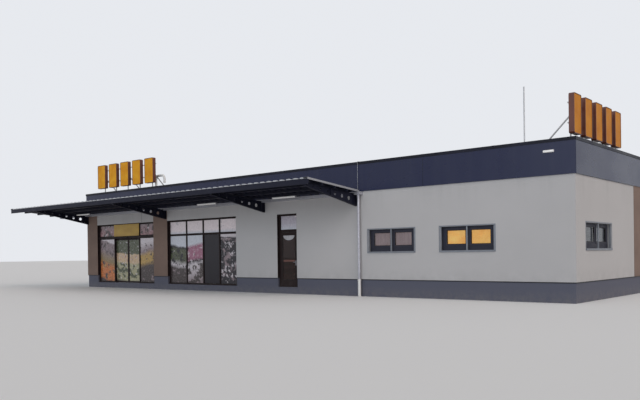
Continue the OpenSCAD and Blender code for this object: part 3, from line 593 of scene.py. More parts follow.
def make_galvanised():
    made = Finish("galvanised", (0.42, 0.43, 0.45), 0.45, 0.7)
    flakes = made.spread(made.cells(60.0, output="Color"), 0.1, 0.9)
    made.join(made.shade(flakes, 0.3), "Base Color")
    made.join(made.spread(flakes, 0.0, 1.0, 0.36, 0.58), "Roughness")
    made.bump(made.noise(90.0, detail=2.0), 0.0002)
    return made


def make_lit_blind():
    openings = settings("shop_openings")
    made = Finish("lit_blind", openings.lit, 0.8)
    weave = made.noise(240.0, (1.0, 1.0, 0.2), 2.0)
    fall = made.spread(made.noise(1.5, (1.0, 1.0, 1.6), 3.0), 0.3, 0.72)
    warm = made.mixed(fall, openings.lit, (1.0, 0.60, 0.16))
    made.join(warm, "Base Color")
    made.join(warm, "Emission Color")
    made.set("Emission Strength", openings.lit_strength)
    made.bump(weave, 0.0004)
    return made


ORANGE = (0.50, 0.155, 0.045)
KHAKI = (0.23, 0.165, 0.075)
GOLD = (0.42, 0.27, 0.085)
BEIGE = (0.54, 0.39, 0.25)
LEAF_GREEN = (0.37, 0.35, 0.22)
LILAC = (0.24, 0.185, 0.20)
ROSE = (0.33, 0.135, 0.205)
ROSE_GREY = (0.32, 0.17, 0.18)
PALE = (0.58, 0.53, 0.56)
CREAM = (0.78, 0.69, 0.71)
SKY_GREY = (0.55, 0.57, 0.63)
MOSS = (0.075, 0.085, 0.05)
SMOKE = (0.055, 0.042, 0.042)
NIGHT = (0.014, 0.012, 0.018)

# Plain designs of soft colour fields for the films on the panes, which are painted reflections of the
# surroundings.
# Each has the node and number of its pane, the slant of its fields, the colours from its foot to its head,
# and soft spots. A spot is a colour, the share of the pattern over which it shows, and its lowest and highest
# place.
PAINTED_REFLECTION_FILMS = {
    "left_light": (
        "entrance_glass", 0, 0.12,
        (
            (0.0, SMOKE), (0.07, ORANGE), (0.36, ORANGE), (0.48, KHAKI), (0.72, LILAC), (0.92, LILAC),
            (0.95, PALE),
        ),
        ((SMOKE, 0.54, 0.05, 0.44), (GOLD, 0.58, 0.05, 0.40), (SMOKE, 0.54, 0.60, 0.93)),
    ),
    "right_light": (
        "entrance_glass", 3, -0.10,
        ((0.0, SMOKE), (0.36, SMOKE), (0.46, GOLD), (0.60, GOLD), (0.72, LILAC), (0.90, PALE)),
        ((LILAC, 0.58, 0.0, 0.40), (SMOKE, 0.56, 0.40, 0.90), (PALE, 0.60, 0.60, 1.0)),
    ),
    "door_leaf": (
        "sliding_glass_left", 0, 0.05,
        ((0.0, SMOKE), (0.06, LEAF_GREEN), (0.42, LEAF_GREEN), (0.48, BEIGE), (0.66, BEIGE), (0.69, MOSS)),
        ((MOSS, 0.50, 0.05, 0.46), (ROSE_GREY, 0.56, 0.44, 0.66), (PALE, 0.58, 0.05, 1.0)),
    ),
    "header_light": (
        "entrance_glass", 1, 0.0,
        ((0.0, ROSE_GREY), (1.0, LILAC)),
        ((SMOKE, 0.50, 0.0, 1.0), (PALE, 0.62, 0.0, 1.0)),
    ),
    "shop_first": (
        "shop_window_glass", 0, 0.05,
        (
            (0.0, SMOKE), (0.30, SMOKE), (0.38, PALE), (0.48, MOSS), (0.70, MOSS), (0.76, NIGHT),
            (0.80, SKY_GREY),
        ),
        ((LILAC, 0.60, 0.0, 0.30), (NIGHT, 0.52, 0.30, 0.72), (PALE, 0.64, 0.30, 0.72)),
    ),
    "shop_second": (
        "shop_window_glass", 2, -0.06,
        ((0.0, LILAC), (0.40, PALE), (0.46, NIGHT), (0.52, ROSE), (0.76, ROSE), (0.82, SKY_GREY)),
        ((SMOKE, 0.44, 0.0, 0.42), (SMOKE, 0.56, 0.50, 0.78), (PALE, 0.58, 0.10, 0.78)),
    ),
    "shop_fourth": (
        "shop_window_glass", 6, 0.0,
        ((0.0, NIGHT), (0.92, NIGHT), (0.95, PALE)),
        ((LILAC, 0.52, 0.04, 0.92), (PALE, 0.57, 0.04, 0.92)),
    ),
    "shop_head": (
        "shop_window_glass", 1, 0.0,
        ((0.0, SKY_GREY), (0.30, CREAM), (1.0, CREAM)),
        ((PALE, 0.62, 0.0, 1.0),),
    ),
    "fanlight": (
        "fanlight_glass", 0, 0.0,
        ((0.0, SKY_GREY), (0.5, (0.44, 0.41, 0.47)), (1.0, (0.36, 0.33, 0.38))),
        ((CREAM, 0.64, 0.3, 1.0),),
    ),
}


def make_painted_reflection_film(name):
    """A film of painted reflections whose colours change up the pane, with soft spots of other tones."""
    node, number, slant, stops, spots = PAINTED_REFLECTION_FILMS[name]
    low, high = loose_boxes(node)[number]
    made = Finish(f"film_{name}", stops[0][1], 0.25)
    wobble = made.spread(made.noise(2.2, detail=3.0), 0.25, 0.75, -0.03, 0.03)
    slope = made.spread(made.height("X"), low.x, high.x, -slant / 2, slant / 2)
    share = made.sum(made.sum(made.spread(made.height(), low.z, high.z), wobble), slope)
    colour = made.ramp(share, stops)
    for index, (tone, start, foot, head) in enumerate(spots):
        pattern = made.spread(made.noise(3.4 + 1.9 * index, detail=3.0), start, start + 0.09)
        above = made.spread(share, foot, foot + 0.02)
        below = made.spread(share, head, head - 0.02)
        mask = made.sum(made.sum(pattern, above, "MULTIPLY"), below, "MULTIPLY")
        colour = made.mixed(mask, colour, tone)
    made.join(colour, "Base Color")
    made.join(made.spread(made.noise(12.0), 0.3, 0.7, 0.2, 0.34), "Roughness")
    made.bump(made.noise(30.0, detail=2.0), 0.0002)
    return made


MAKERS = {
    "white_render": make_white_render,
    "brown_render": make_brown_render,
    "plinth_paint": make_plinth_paint,
    "concrete": make_concrete,
    "zinc": make_zinc,
    "standpipe_paint": make_standpipe,
    "frame_aluminium": make_frame_aluminium,
    "office_frame": make_office_frame,
    "clear_glass": make_clear_glass,
    "brown_glass": make_brown_glass,
    "sign_face": make_sign_face,
    "galvanised": make_galvanised,
    "lit_blind": make_lit_blind,
}


def block(bm, low, high, tone=0):
    """Adds a box between two corners. Its faces take the finish of that number."""
    low = Vector(low)
    high = Vector(high)
    place = Matrix.Translation((low + high) / 2) @ Matrix.Diagonal((*(high - low), 1.0))
    made = bmesh.ops.create_cube(bm, size=1.0, matrix=place)["verts"]
    for face in {face for vert in made for face in vert.link_faces}:
        face.material_index = tone
    return made


def rod(bm, start, end, radius, sides):
    """Adds a round bar between two points."""
    start = Vector(start)
    end = Vector(end)
    run = end - start
    place = Matrix.Translation((start + end) / 2) @ run.to_track_quat("Z", "Y").to_matrix().to_4x4()
    bmesh.ops.create_cone(
        bm, cap_ends=True, cap_tris=False, segments=sides, radius1=radius, radius2=radius,
        depth=run.length, matrix=place
    )


def extrusion(bm, outline, run):
    """Adds a flat outline of points, pulled along a vector."""
    face = bm.faces.new([bm.verts.new(point) for point in outline])
    pulled = bmesh.ops.extrude_face_region(bm, geom=[face])["geom"]
    moved = [item for item in pulled if isinstance(item, bmesh.types.BMVert)]
    bmesh.ops.translate(bm, verts=moved, vec=Vector(run))


def soften(bm, width, angle=35.0, segments=2):
    """Rounds every edge that turns by more than an angle."""
    sharp = [
        edge for edge in bm.edges
        if len(edge.link_faces) == 2 and edge.calc_face_angle(0.0) > math.radians(angle)
    ]
    bmesh.ops.bevel(
        bm, geom=sharp, offset=width, offset_type="OFFSET", segments=segments, profile=0.5,
        affect="EDGES", material=-1, clamp_overlap=True
    )


def make_piece(name, bm, finishes, body="building"):
    """Turns a bmesh into a piece of the building that moves with a body."""
    bmesh.ops.recalc_face_normals(bm, faces=bm.faces)
    mesh = bpy.data.meshes.new(name)
    bm.to_mesh(mesh)
    bm.free()
    for item in finishes:
        mesh.materials.append(finish(item))
    mesh.shade_smooth()
    mesh.set_sharp_from_angle(angle=math.radians(ROUND_ANGLE))
    piece = bpy.data.objects.new(name, mesh)
    bpy.context.scene.collection.objects.link(piece)
    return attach(piece, body)


def merged_copy(node):
    """A bmesh of a solid's mesh with its loose triangles joined."""
    bm = bmesh.new()
    bm.from_mesh(frame["nodes"][node].data)
    bmesh.ops.remove_doubles(bm, verts=bm.verts, dist=MERGE)
    bmesh.ops.dissolve_limit(bm, angle_limit=math.radians(0.8), verts=bm.verts, edges=bm.edges)
    return bm


def soft_solid(node, width, finishes, body="building", paint=None, segments=2):
    """A copy of a solid with rounded edges, shown in its place. paint gives a face its finish's number."""
    bm = merged_copy(node)
    if paint:
        for face in bm.faces:
            face.material_index = paint(face)
    soften(bm, width, segments=segments)
    piece = make_piece(f"{node}_shown", bm, finishes, body)
    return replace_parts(piece, node)


def dress(node, name):
    """Gives a solid that stays as it is its finish."""
    solid = frame["nodes"][node]
    if not solid.material_slots:
        solid.data.materials.append(finish(name))
    for entry in solid.material_slots:
        entry.material = finish(name)


def loose_boxes(node):
    """Lowest and highest corner of each separate solid in a node, from left to right."""
    bm = merged_copy(node)
    waiting = set(bm.verts)
    boxes = []
    while waiting:
        group = [waiting.pop()]
        for vert in group:
            for edge in vert.link_edges:
                other = edge.other_vert(vert)
                if other in waiting:
                    waiting.remove(other)
                    group.append(other)
        points = [vert.co for vert in group]
        low = Vector([min(point[i] for point in points) for i in range(3)])
        high = Vector([max(point[i] for point in points) for i in range(3)])
        boxes.append((low, high))
    bm.free()
    return sorted(boxes, key=lambda box: tuple(round(value, 3) for value in box[0]))


def middle_of(box):
    """The middle of a box."""
    return (box[0] + box[1]) / 2


def lay_floor(stage):
    """A pale round floor, far wider than the building."""
    bm = bmesh.new()
    bmesh.ops.create_circle(bm, cap_ends=True, segments=96, radius=400.0)
    mesh = bpy.data.meshes.new("stage_floor")
    bm.to_mesh(mesh)
    bm.free()
    ground = Finish("stage_floor", stage.ground, 0.9)
    mesh.materials.append(ground.material)
    floor = bpy.data.objects.new("stage_floor", mesh)
    bpy.context.scene.collection.objects.link(floor)


def set_sky(stage):
    """Even light from all round, behind which the camera, gloss and glass see a pale background."""
    world = bpy.data.worlds.new("stage_sky")
    bpy.context.scene.world = world
    world.use_nodes = True
    nodes = world.node_tree.nodes
    links = world.node_tree.links
    light = nodes["Background"]
    light.inputs["Color"].default_value = (0.93, 0.96, 1.0, 1.0)
    light.inputs["Strength"].default_value = stage.sky
    shown = nodes.new("ShaderNodeBackground")
    shown.inputs["Color"].default_value = (*stage.backdrop, 1.0)
    shown.inputs["Strength"].default_value = 1.0
    path = nodes.new("ShaderNodeLightPath")
    share = path.outputs["Is Camera Ray"]
    for ray in ("Is Glossy Ray", "Is Transmission Ray"):
        either = nodes.new("ShaderNodeMath")
        either.operation = "MAXIMUM"
        links.new(share, either.inputs[0])
        links.new(path.outputs[ray], either.inputs[1])
        share = either.outputs[0]
    mix = nodes.new("ShaderNodeMixShader")
    links.new(share, mix.inputs[0])
    links.new(light.outputs[0], mix.inputs[1])
    links.new(shown.outputs[0], mix.inputs[2])
    links.new(mix.outputs[0], nodes["World Output"].inputs["Surface"])


def set_lamp(name, strength, softness, colour, towards):
    """A broad, even light that shines towards a direction."""
    light = bpy.data.lights.new(name, "SUN")
    light.energy = strength
    light.color = colour
    light.angle = math.radians(softness)
    lamp = bpy.data.objects.new(name, light)
    lamp.rotation_euler = Vector(towards).to_track_quat("-Z", "Y").to_euler()
    bpy.context.scene.collection.objects.link(lamp)


class SHOP_OT_stage(bpy.types.Operator):
    """Lays the pale floor and sets the sky, the soft light from the right and the low light from the front"""

    bl_idname = "shop.stage"
    bl_label = "Stage"

    def execute(self, context):
        stage = settings("shop_stage")
        lay_floor(stage)
        set_sky(stage)
        set_lamp("side_light", stage.side, stage.softness, (1.0, 0.88, 0.80), (-0.80, 0.20, -0.56))
        set_lamp("front_light", stage.fill, stage.softness, (0.85, 0.92, 1.0), (-0.12, 0.98, -0.17))
        context.scene.view_settings.view_transform = "Standard"
        return {"FINISHED"}


class SHOP_OT_camera(bpy.types.Operator):
    """Sets the camera at the photograph's place and angle"""

    bl_idname = "shop.camera"
    bl_label = "Camera"

    def execute(self, context):
        place = Vector((21.7705, -35.593, 1.633))
        yaw = math.radians(40.234)
        pitch = math.radians(-0.260)
        roll = math.radians(-0.749)
        ahead = Vector((-math.sin(yaw) * math.cos(pitch), math.cos(yaw) * math.cos(pitch), math.sin(pitch)))
        level = Vector((math.cos(yaw), math.sin(yaw), 0.0))
        upright = level.cross(ahead)
        across = math.cos(roll) * level + math.sin(roll) * upright
        up = math.cos(roll) * upright - math.sin(roll) * level
        data = bpy.data.cameras.new("photo_camera")
        data.sensor_width = 36.0
        data.lens = 39.43
        data.shift_y = 0.0905
        data.clip_start = 0.1
        data.clip_end = 1000.0
        camera = bpy.data.objects.new("photo_camera", data)
        turn = Matrix((across, up, -ahead)).transposed()
        camera.matrix_world = Matrix.Translation(place) @ turn.to_4x4()
        context.scene.collection.objects.link(camera)
        context.scene.camera = camera
        return {"FINISHED"}


def lay_starter_trim_and_shade():
    """A near-black metal profile in the recess under the wall, which shows as a line above the plinth: partly
    a starter profile, and partly painted shade under the wall's edge.
    """
    depth = 0.016
    top = PLINTH_TOP - HAIR
    foot = PLINTH_TOP - 0.036
    face = PLINTH_FACE - depth
    back = BACK - PLINTH_INSET
    low_x = LEFT + PLINTH_INSET
    high_x = RIGHT - PLINTH_INSET
    bm = bmesh.new()
    for low, high in loose_boxes("front_plinth"):
        left_end = low.x - depth if low.x < low_x + HAIR else low.x
        right_end = high.x + depth if high.x > high_x - HAIR else high.x
        block(bm, (left_end, face, foot), (right_end, PLINTH_FACE, top))
    block(bm, (low_x - depth, back, foot), (high_x + depth, back + depth, top))
    for x in (high_x, low_x - depth):
        block(bm, (x, PLINTH_FACE, foot), (x + depth, back, top))
    soften(bm, 0.002)
    make_piece("starter_trim", bm, ["starter_trim"])


def lay_render_joint():
    """A thin joint profile in the render over the entrance."""
    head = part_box("lintels")[0].z
    x = -8.698
    bm = bmesh.new()
    block(bm, (x - 0.006, FRONT - 0.0015, head), (x + 0.006, FRONT + 0.004, BAND_FOOT))
    make_piece("render_joint", bm, ["starter_trim"])


def line_openings():
    """Metal linings on the sides and heads of the reveals of the doors and the shop window."""
    bm = bmesh.new()
    skin = 0.0025
    for node in ("entrance_frame", "shop_window_frame", "side_door_frame"):
        low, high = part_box(node)
        front = FRONT - 0.001
        back = low.y if node != "side_door_frame" else FRONT + LEAF_IN - 0.001
        for x in (low.x, high.x - skin):
            block(bm, (x, front, PLINTH_TOP), (x + skin, back, high.z))
        block(bm, (low.x, front, high.z - skin), (high.x, back, high.z))
    make_piece("reveal_linings", bm, ["frame_aluminium"])


class SHOP_OT_walls(bpy.types.Operator):
    """Finishes the walls, the piers, the plinth, the reveals and the dark trim above the plinth, which is
    partly painted shade
    """

    bl_idname = "shop.walls"
    bl_label = "Walls and plinth"

    def execute(self, context):
        dress("floor_slab", "concrete")
        for node in (
            "lintels", "front_wall_centre", "front_wall_right", "right_wall", "back_wall", "left_wall",
        ):
            dress(node, "white_render")
        for node in ("front_piers", "wall_pilasters"):
            dress(node, "brown_render")
        for node in ("front_footing", "front_plinth", "right_plinth", "back_plinth", "left_plinth"):
            dress(node, "plinth_paint")
        lay_starter_trim_and_shade()
        lay_render_joint()
        line_openings()
        return {"FINISHED"}


def clad_band(walls):
    """Panels on the four outer faces of the parapet, with open joints between them."""
    proud = 0.008
    gap = walls.panel_gap
    foot = BAND_FOOT - 0.004
    top = BAND_TOP - 0.004
    x0, x1 = BAND_LOW.x, BAND_HIGH.x
    y0, y1 = BAND_LOW.y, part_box("parapet_back")[1].y
    long_step = (x1 - x0 + 2 * proud) / walls.panels_long
    deep_step = (y1 - y0) / walls.panels_deep
    bm = bmesh.new()
    for i in range(walls.panels_long):
        low = x0 - proud + i * long_step + gap / 2
        high = low + long_step - gap
        block(bm, (low, y0 - proud, foot), (high, y0 + HAIR, top))
        block(bm, (low, y1 - HAIR, foot), (high, y1 + proud, top))
    for i in range(walls.panels_deep):
        low = y0 + i * deep_step + gap / 2
        high = low + deep_step - gap
        block(bm, (x0 - proud, low, foot), (x0 + HAIR, high, top))
        block(bm, (x1 - HAIR, low, foot), (x1 + proud, high, top))
    soften(bm, 0.003)
    make_piece("band_panels", bm, ["band_cladding"])


def coping_section(width, top):
    """Depth from the outer edge and height of each fold of the coping."""
    skin = 0.003
    seat = BAND_TOP + 0.002
    outer_foot = top - 0.105
    inner_top = top - COPING_FALL
    inner_foot = inner_top - 0.08
    return (
        (0.0, top), (width, inner_top), (width, inner_foot), (width - skin, inner_foot),
        (width - skin, seat), (skin, seat), (skin, outer_foot), (0.0, outer_foot),
    )


def fold_coping(walls):
    """A folded coping with a drip on each side, mitred at the corners."""
    rim = 0.002
    x0, x1 = COPING_LOW.x + rim, COPING_HIGH.x - rim
    y0, y1 = COPING_LOW.y + rim, COPING_HIGH.y - rim
    top = COPING_HIGH.z - rim
    width = PARAPET_T + (BAND_LOW.y - COPING_LOW.y) * 2 - 2 * rim
    section = coping_section(width, top)
    bm = bmesh.new()
    rings = [
        [
            bm.verts.new((x + math.copysign(depth, -x), y + math.copysign(depth, -y), z))
            for depth, z in section
        ]
        for x, y in ((x0, y0), (x1, y0), (x1, y1), (x0, y1))
    ]
    for ring, other in zip(rings, rings[1:] + rings[:1]):
        for i in range(len(section)):
            j = (i + 1) % len(section)
            bm.faces.new((ring[i], other[i], other[j], ring[j]))
    soften(bm, 0.001, angle=25.0)
    piece = make_piece("folded_coping", bm, ["coping_metal"])
    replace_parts(piece, "coping")
    cover_joints((x0, x1), (y0, y1), top, width, walls.cap_pitch)


def cover_joints(x_ends, y_ends, top, width, pitch):
    """Cover strips over the joints between the lengths of coping."""
    half = 0.06
    skin = 0.0018
    inner_top = top - COPING_FALL
    inner_foot = inner_top - 0.06
    outer_foot = top - 0.1
    section = (
        (-skin, top + skin), (width + skin, inner_top + skin), (width + skin, inner_foot),
        (width, inner_foot), (width, inner_top), (0.0, top), (0.0, outer_foot), (-skin, outer_foot),
    )
    bm = bmesh.new()
    for along_x, ends, sides in ((True, x_ends, y_ends), (False, y_ends, x_ends)):
        low, high = ends
        count = math.ceil((high - low) / pitch)
        for i in range(1, count):
            start = low + (high - low) * i / count - half
            for side, inward in zip(sides, (1, -1)):
                outline = [
                    (start, side + inward * depth, z) if along_x else (side + inward * depth, start, z)
                    for depth, z in section
                ]
                extrusion(bm, outline, (2 * half, 0, 0) if along_x else (0, 2 * half, 0))
    make_piece("coping_covers", bm, ["coping_metal"])


class SHOP_OT_band(bpy.types.Operator):
    """Clads the parapet band in panels and folds the metal coping over it"""

    bl_idname = "shop.band"
    bl_label = "Band and coping"

    def execute(self, context):
        walls = settings("shop_walls")
        for node in ("parapet_front", "parapet_right", "parapet_back", "parapet_left"):
            dress(node, "starter_trim")
        clad_band(walls)
        fold_coping(walls)
        return {"FINISHED"}


def lay_laps(roof, x0, x1, y0, y1):
    """Welded laps between the rolls of membrane, with staggered laps across each roll."""
    rolls = math.floor((y1 - y0) / roof.roll_width)
    step = (y1 - y0) / rolls
    stagger = 1.9
    third = (x1 - x0) / 3
    bm = bmesh.new()
    for i in range(rolls):
        y = y0 + i * step
        if i:
            block(bm, (x0, y, ROOF), (x1, y + 0.06, ROOF + 0.003))
        for k in (1, 2):
            x = x0 + k * third + (i % 3 - 1) * stagger
            block(bm, (x, y, ROOF), (x + 0.06, y + step, ROOF + 0.0024))
    make_piece("membrane_laps", bm, ["roof_membrane"])


def raise_upstands(roof, x0, x1, y0, y1):
    """Membrane turned up against the parapets over a sloped fillet, and held by clamping rails."""
    top = ROOF + roof.upstand
    thick = 0.005
    cant = 0.07
    rail_t = 0.012
    rail_top = top + 0.04
    bm = bmesh.new()
    rail = bmesh.new()
    for y, inward in ((y0, 1), (y1, -1)):
        near, far = sorted((y, y + inward * thick))
        block(bm, (x0, near, ROOF), (x1, far, top))
        outline = ((x0, y, ROOF), (x0, y + inward * cant, ROOF), (x0, y, ROOF + cant))
        extrusion(bm, outline, (x1 - x0, 0, 0))
        near, far = sorted((y, y + inward * rail_t))
        block(rail, (x0, near, top), (x1, far, rail_top))
    for x, inward in ((x0, 1), (x1, -1)):
        near, far = sorted((x, x + inward * thick))
        block(bm, (near, y0, ROOF), (far, y1, top))
        outline = ((x, y0, ROOF), (x + inward * cant, y0, ROOF), (x, y0, ROOF + cant))
        extrusion(bm, outline, (0, y1 - y0, 0))
        near, far = sorted((x, x + inward * rail_t))
        block(rail, (near, y0, top), (far, y1, rail_top))
    make_piece("membrane_upstands", bm, ["roof_membrane"])
    soften(rail, 0.002)
    make_piece("clamping_rails", rail, ["bare_aluminium"])


class SHOP_OT_roof(bpy.types.Operator):
    """Lays the roofing membrane with its welded laps, upstands and clamping rails"""

    bl_idname = "shop.roof"
    bl_label = "Roof"

    def execute(self, context):
        roof = settings("shop_roof")
        dress("roof_deck", "roof_membrane")
        span = (BAND_LOW.x + PARAPET_T, BAND_HIGH.x - PARAPET_T, BAND_HIGH.y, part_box("parapet_back")[0].y)
        lay_laps(roof, *span)
        raise_upstands(roof, *span)
        return {"FINISHED"}


def sheet_line():
    """Slope of the canopy sheet, and the height of its underside at the wall's face."""
    mesh = frame["nodes"]["canopy_sheet"].data
    edge = [vert.co for vert in mesh.vertices if vert.co.x < SHEET_LOW.x + HAIR]
    half_way = (SHEET_LOW.y + SHEET_HIGH.y) / 2
    inner = min((point for point in edge if point.y > half_way), key=lambda point: point.z)
    outer = min((point for point in edge if point.y < half_way), key=lambda point: point.z)
    slope = (outer.z - inner.z) / (inner.y - outer.y)
    return slope, inner.z - slope * (FRONT - inner.y)


SHEET_SLOPE, SHEET_AT_WALL = sheet_line()
SHEET_TILT = math.atan(SHEET_SLOPE)
RIB_H = 0.04
SHEET_T = 0.005


def sheet_under(y):
    """Height of the underside of the canopy sheet's flat pans."""
    return SHEET_AT_WALL + SHEET_SLOPE * (FRONT - y)


def rib_edges():
    """The four edges of each rib of the canopy sheet along X: foot, crest, crest and foot."""
    mesh = frame["nodes"]["canopy_sheet"].data
    places = sorted({round(vert.co.x, 4) for vert in mesh.vertices if vert.co.y < SHEET_LOW.y + 0.02})
    inner = places[1:-1]
    return [inner[i:i + 4] for i in range(0, len(inner) - 3, 4)]


def sheet_side(face):
    """Finish of a face of the canopy sheet: 1 under it, where a near-black finish is painted shade, and 0 on
    top of it and on its cut ends.
    """
    return 1 if face.normal.z < -0.3 else 0


def close_ribs():
    """Light metal closures in the outer ends of the sheet's ribs."""
    front = SHEET_LOW.y + 0.004
    back = front + 0.012
    foot = sheet_under(front) + 0.0008
    inset = 0.004
    bm = bmesh.new()
    for outer_l, crest_l, crest_r, outer_r in rib_edges():
        crest = foot + RIB_H - 0.003
        outline = (
            (outer_l + inset, front, foot), (outer_r - inset, front, foot),
            (crest_r - inset / 2, front, crest), (crest_l + inset / 2, front, crest),
        )
        extrusion(bm, outline, (0, back - front, -(back - front) * SHEET_SLOPE))
    make_piece("rib_closures", bm, ["roof_sheet_top"])


def drive_sheet_screws():
    """A screw with its washer on each rib, over each purlin and over the front beam."""
    lines = [middle_of(box).y for box in loose_boxes("canopy_purlins")]
    lines.append(middle_of((FASCIA_LOW, FASCIA_HIGH)).y)
    up = Vector((0.0, SHEET_SLOPE, 1.0)).normalized()
    bm = bmesh.new()
    for y in lines:
        for rib in rib_edges():
            foot = Vector(((rib[1] + rib[2]) / 2, y, sheet_under(y))) + up * (RIB_H + SHEET_T)
            rod(bm, foot - up * 0.001, foot + up * 0.002, 0.011, sides=8)
            rod(bm, foot + up * 0.002, foot + up * 0.008, 0.006, sides=6)
    make_piece("sheet_screws", bm, ["galvanised"])


def flash_verges():
    """Folded flashings over the first and the last rib, turned down over the canopy's ends."""
    over = RIB_H + SHEET_T + 0.001
    skin = 0.0015
    reach = 0.27
    turn_down = 0.025
    start_y = SHEET_HIGH.y
    run_y = SHEET_LOW.y - start_y
    base = sheet_under(start_y)
    bm = bmesh.new()
    for end, inward in ((SHEET_LOW.x, 1), (SHEET_HIGH.x, -1)):
        outer = end - inward * skin
        section = (
            (end + inward * reach, over), (end + inward * reach, over + skin), (outer, over + skin),
            (outer, -turn_down), (end, -turn_down), (end, over),
        )
        outline = [(x, start_y, base + z) for x, z in section]
        extrusion(bm, outline, (0, run_y, -run_y * SHEET_SLOPE))
    make_piece("verge_flashings", bm, ["roof_sheet_top"])


def hexagon_bolt(bm, place, normal, across):
    """A washer and a six-sided head that stand on a face."""
    place = Vector(place)
    normal = Vector(normal)
    washer_top = place + normal * across * 0.12
    rod(bm, place, washer_top, across, sides=16)
    rod(bm, washer_top, place + normal * across * 0.75, across * 0.577, sides=6)


def fix_brackets(canopy):
    """Bolts through the brackets' wall plates, stiffeners in their webs, and cleats that hold the purlins."""
    wall_bolts = bmesh.new()
    stiffeners = bmesh.new()
    cleats = bmesh.new()
    plate_face = FRONT - 0.015
    purlins = loose_boxes("canopy_purlins")
    for box in loose_boxes("canopy_brackets"):
        x = middle_of(box).x
        half = (box[1].x - box[0].x) / 2
        for side in (-1, 1):
            for row in range(4):
                z = box[0].z + 0.06 + row * 0.105
                hexagon_bolt(wall_bolts, (x + side * 0.036, plate_face, z), (0, -1, 0), canopy.bolt * 0.6)
        for d, foot, head in bracket_stiffener_places(box):
            y = FRONT - d
            block(stiffeners, (x - half + 0.004, y - 0.005, foot), (x + half - 0.004, y + 0.005, head))
        for low, high in purlins:
            seat = purlin_seat(high.y)
            block(cleats, (x - 0.04, high.y, seat), (x + 0.04, high.y + 0.006, seat + 0.075))
            block(cleats, (x - 0.04, high.y + 0.006, seat), (x + 0.04, high.y + 0.07, seat + 0.006))
            for side in (-0.022, 0.022):
                hexagon_bolt(cleats, (x + side, high.y + 0.006, seat + 0.045), (0, 1, 0), 0.012)
    soften(stiffeners, 0.0015)
    make_piece("bracket_bolts", wall_bolts, ["canopy_steel"])
    make_piece("bracket_stiffeners", stiffeners, ["canopy_steel"])
    make_piece("purlin_cleats", cleats, ["canopy_steel"])


def purlin_seat(y):
    """Height of the brackets' upper faces, on which the purlins lie."""
    purlin_h = 0.1
    return sheet_under(y) - purlin_h


def bracket_stiffener_places(box):
    """Distance from the wall, foot and head of each stiffener of a bracket."""
    flange_t = 0.012
    root_h = purlin_seat(FRONT) - box[0].z
    reach = FRONT - box[0].y
    tip_h = 0.14
    places = []
    for d in (0.235, 1.62, reach - 0.012):
        head = purlin_seat(FRONT - d)
        depth = root_h + (tip_h - root_h) * d / reach
        places.append((d, head - depth + flange_t * 0.5, head - flange_t * 0.5))
    return places


class SHOP_OT_canopy(bpy.types.Operator):
    """Finishes the canopy: steel with bolts and cleats, and sheet with closures, screws and flashings"""

    bl_idname = "shop.canopy"
    bl_label = "Canopy"

    def execute(self, context):
        canopy = settings("shop_canopy")
        soft_solid("canopy_brackets", 0.0015, ["canopy_steel"])
        soft_solid("canopy_purlins", 0.004, ["canopy_steel"])
        soft_solid("canopy_fascia", 0.005, ["canopy_steel"])
        soft_solid("canopy_sheet", 0.0, ["roof_sheet_top", "roof_sheet_soffit"], paint=sheet_side)
        close_ribs()
        drive_sheet_screws()
        flash_verges()
        fix_brackets(canopy)
        return {"FINISHED"}


def fit_gutter(canopy):
    """Straps over the gutter and sleeves at its joints."""
    rim = GUTTER_HIGH.z
    count = math.floor((GUTTER_HIGH.x - GUTTER_LOW.x) / canopy.strap_pitch)
    straps = bmesh.new()
    for i in range(1, count):
        x = GUTTER_LOW.x + (GUTTER_HIGH.x - GUTTER_LOW.x) * i / count
        block(straps, (x - 0.014, GUTTER_LOW.y, rim), (x + 0.014, FRONT, rim + 0.003))
    soften(straps, 0.001)
    make_piece("gutter_straps", straps, ["zinc"])
    middles = [middle_of(box).x for box in loose_boxes("canopy_brackets")]
    sleeves = bmesh.new()
    skin = 0.002
    for left, right in zip(middles, middles[1:]):
        x = (left + right) / 2
        low = (x - 0.045, GUTTER_LOW.y - skin, GUTTER_LOW.z - skin)
        block(sleeves, low, (x + 0.045, GUTTER_LOW.y, rim + skin))
        block(sleeves, low, (x + 0.045, FRONT, GUTTER_LOW.z))
    make_piece("gutter_sleeves", sleeves, ["zinc"])


def fit_downpipe():
    """Sockets on the downpipe, the outlet above it and the pale standpipe at its foot."""
    clip_radius = 0.055
    x = middle_of((PIPE_LOW, PIPE_HIGH)).x
    y = PIPE_LOW.y + clip_radius
    bm = bmesh.new()
    for z, height, radius in ((2.02, 0.07, 0.0545), (GUTTER_LOW.z - 0.1, 0.1, 0.056)):
        rod(bm, (x, y, z), (x, y, z + height), radius, sides=40)
        rod(bm, (x, y, z), (x, y, z + 0.012), radius + 0.004, sides=40)
    soften(bm, 0.0015)
    make_piece("downpipe_sockets", bm, ["zinc"])
    foot = bmesh.new()
    top = PLINTH_TOP - 0.01
    rod(foot, (x, y, 0.0), (x, y, top), 0.059, sides=48)
    rod(foot, (x, y, top - 0.055), (x, y, top + 0.012), 0.067, sides=48)
    rod(foot, (x, y, 0.0), (x, y, 0.03), 0.068, sides=48)
    soften(foot, 0.004)
    make_piece("downpipe_standpipe", foot, ["standpipe_paint"])


class SHOP_OT_gutter(bpy.types.Operator):
    """Finishes the gutter and the downpipe with straps, sleeves, sockets and a standpipe"""

    bl_idname = "shop.gutter"
    bl_label = "Gutter and downpipe"

    def execute(self, context):
        canopy = settings("shop_canopy")
        soft_solid("canopy_gutter", 0.0015, ["zinc"])
        soft_solid("downpipe", 0.0008, ["zinc"])
        fit_gutter(canopy)
        fit_downpipe()
        return {"FINISHED"}


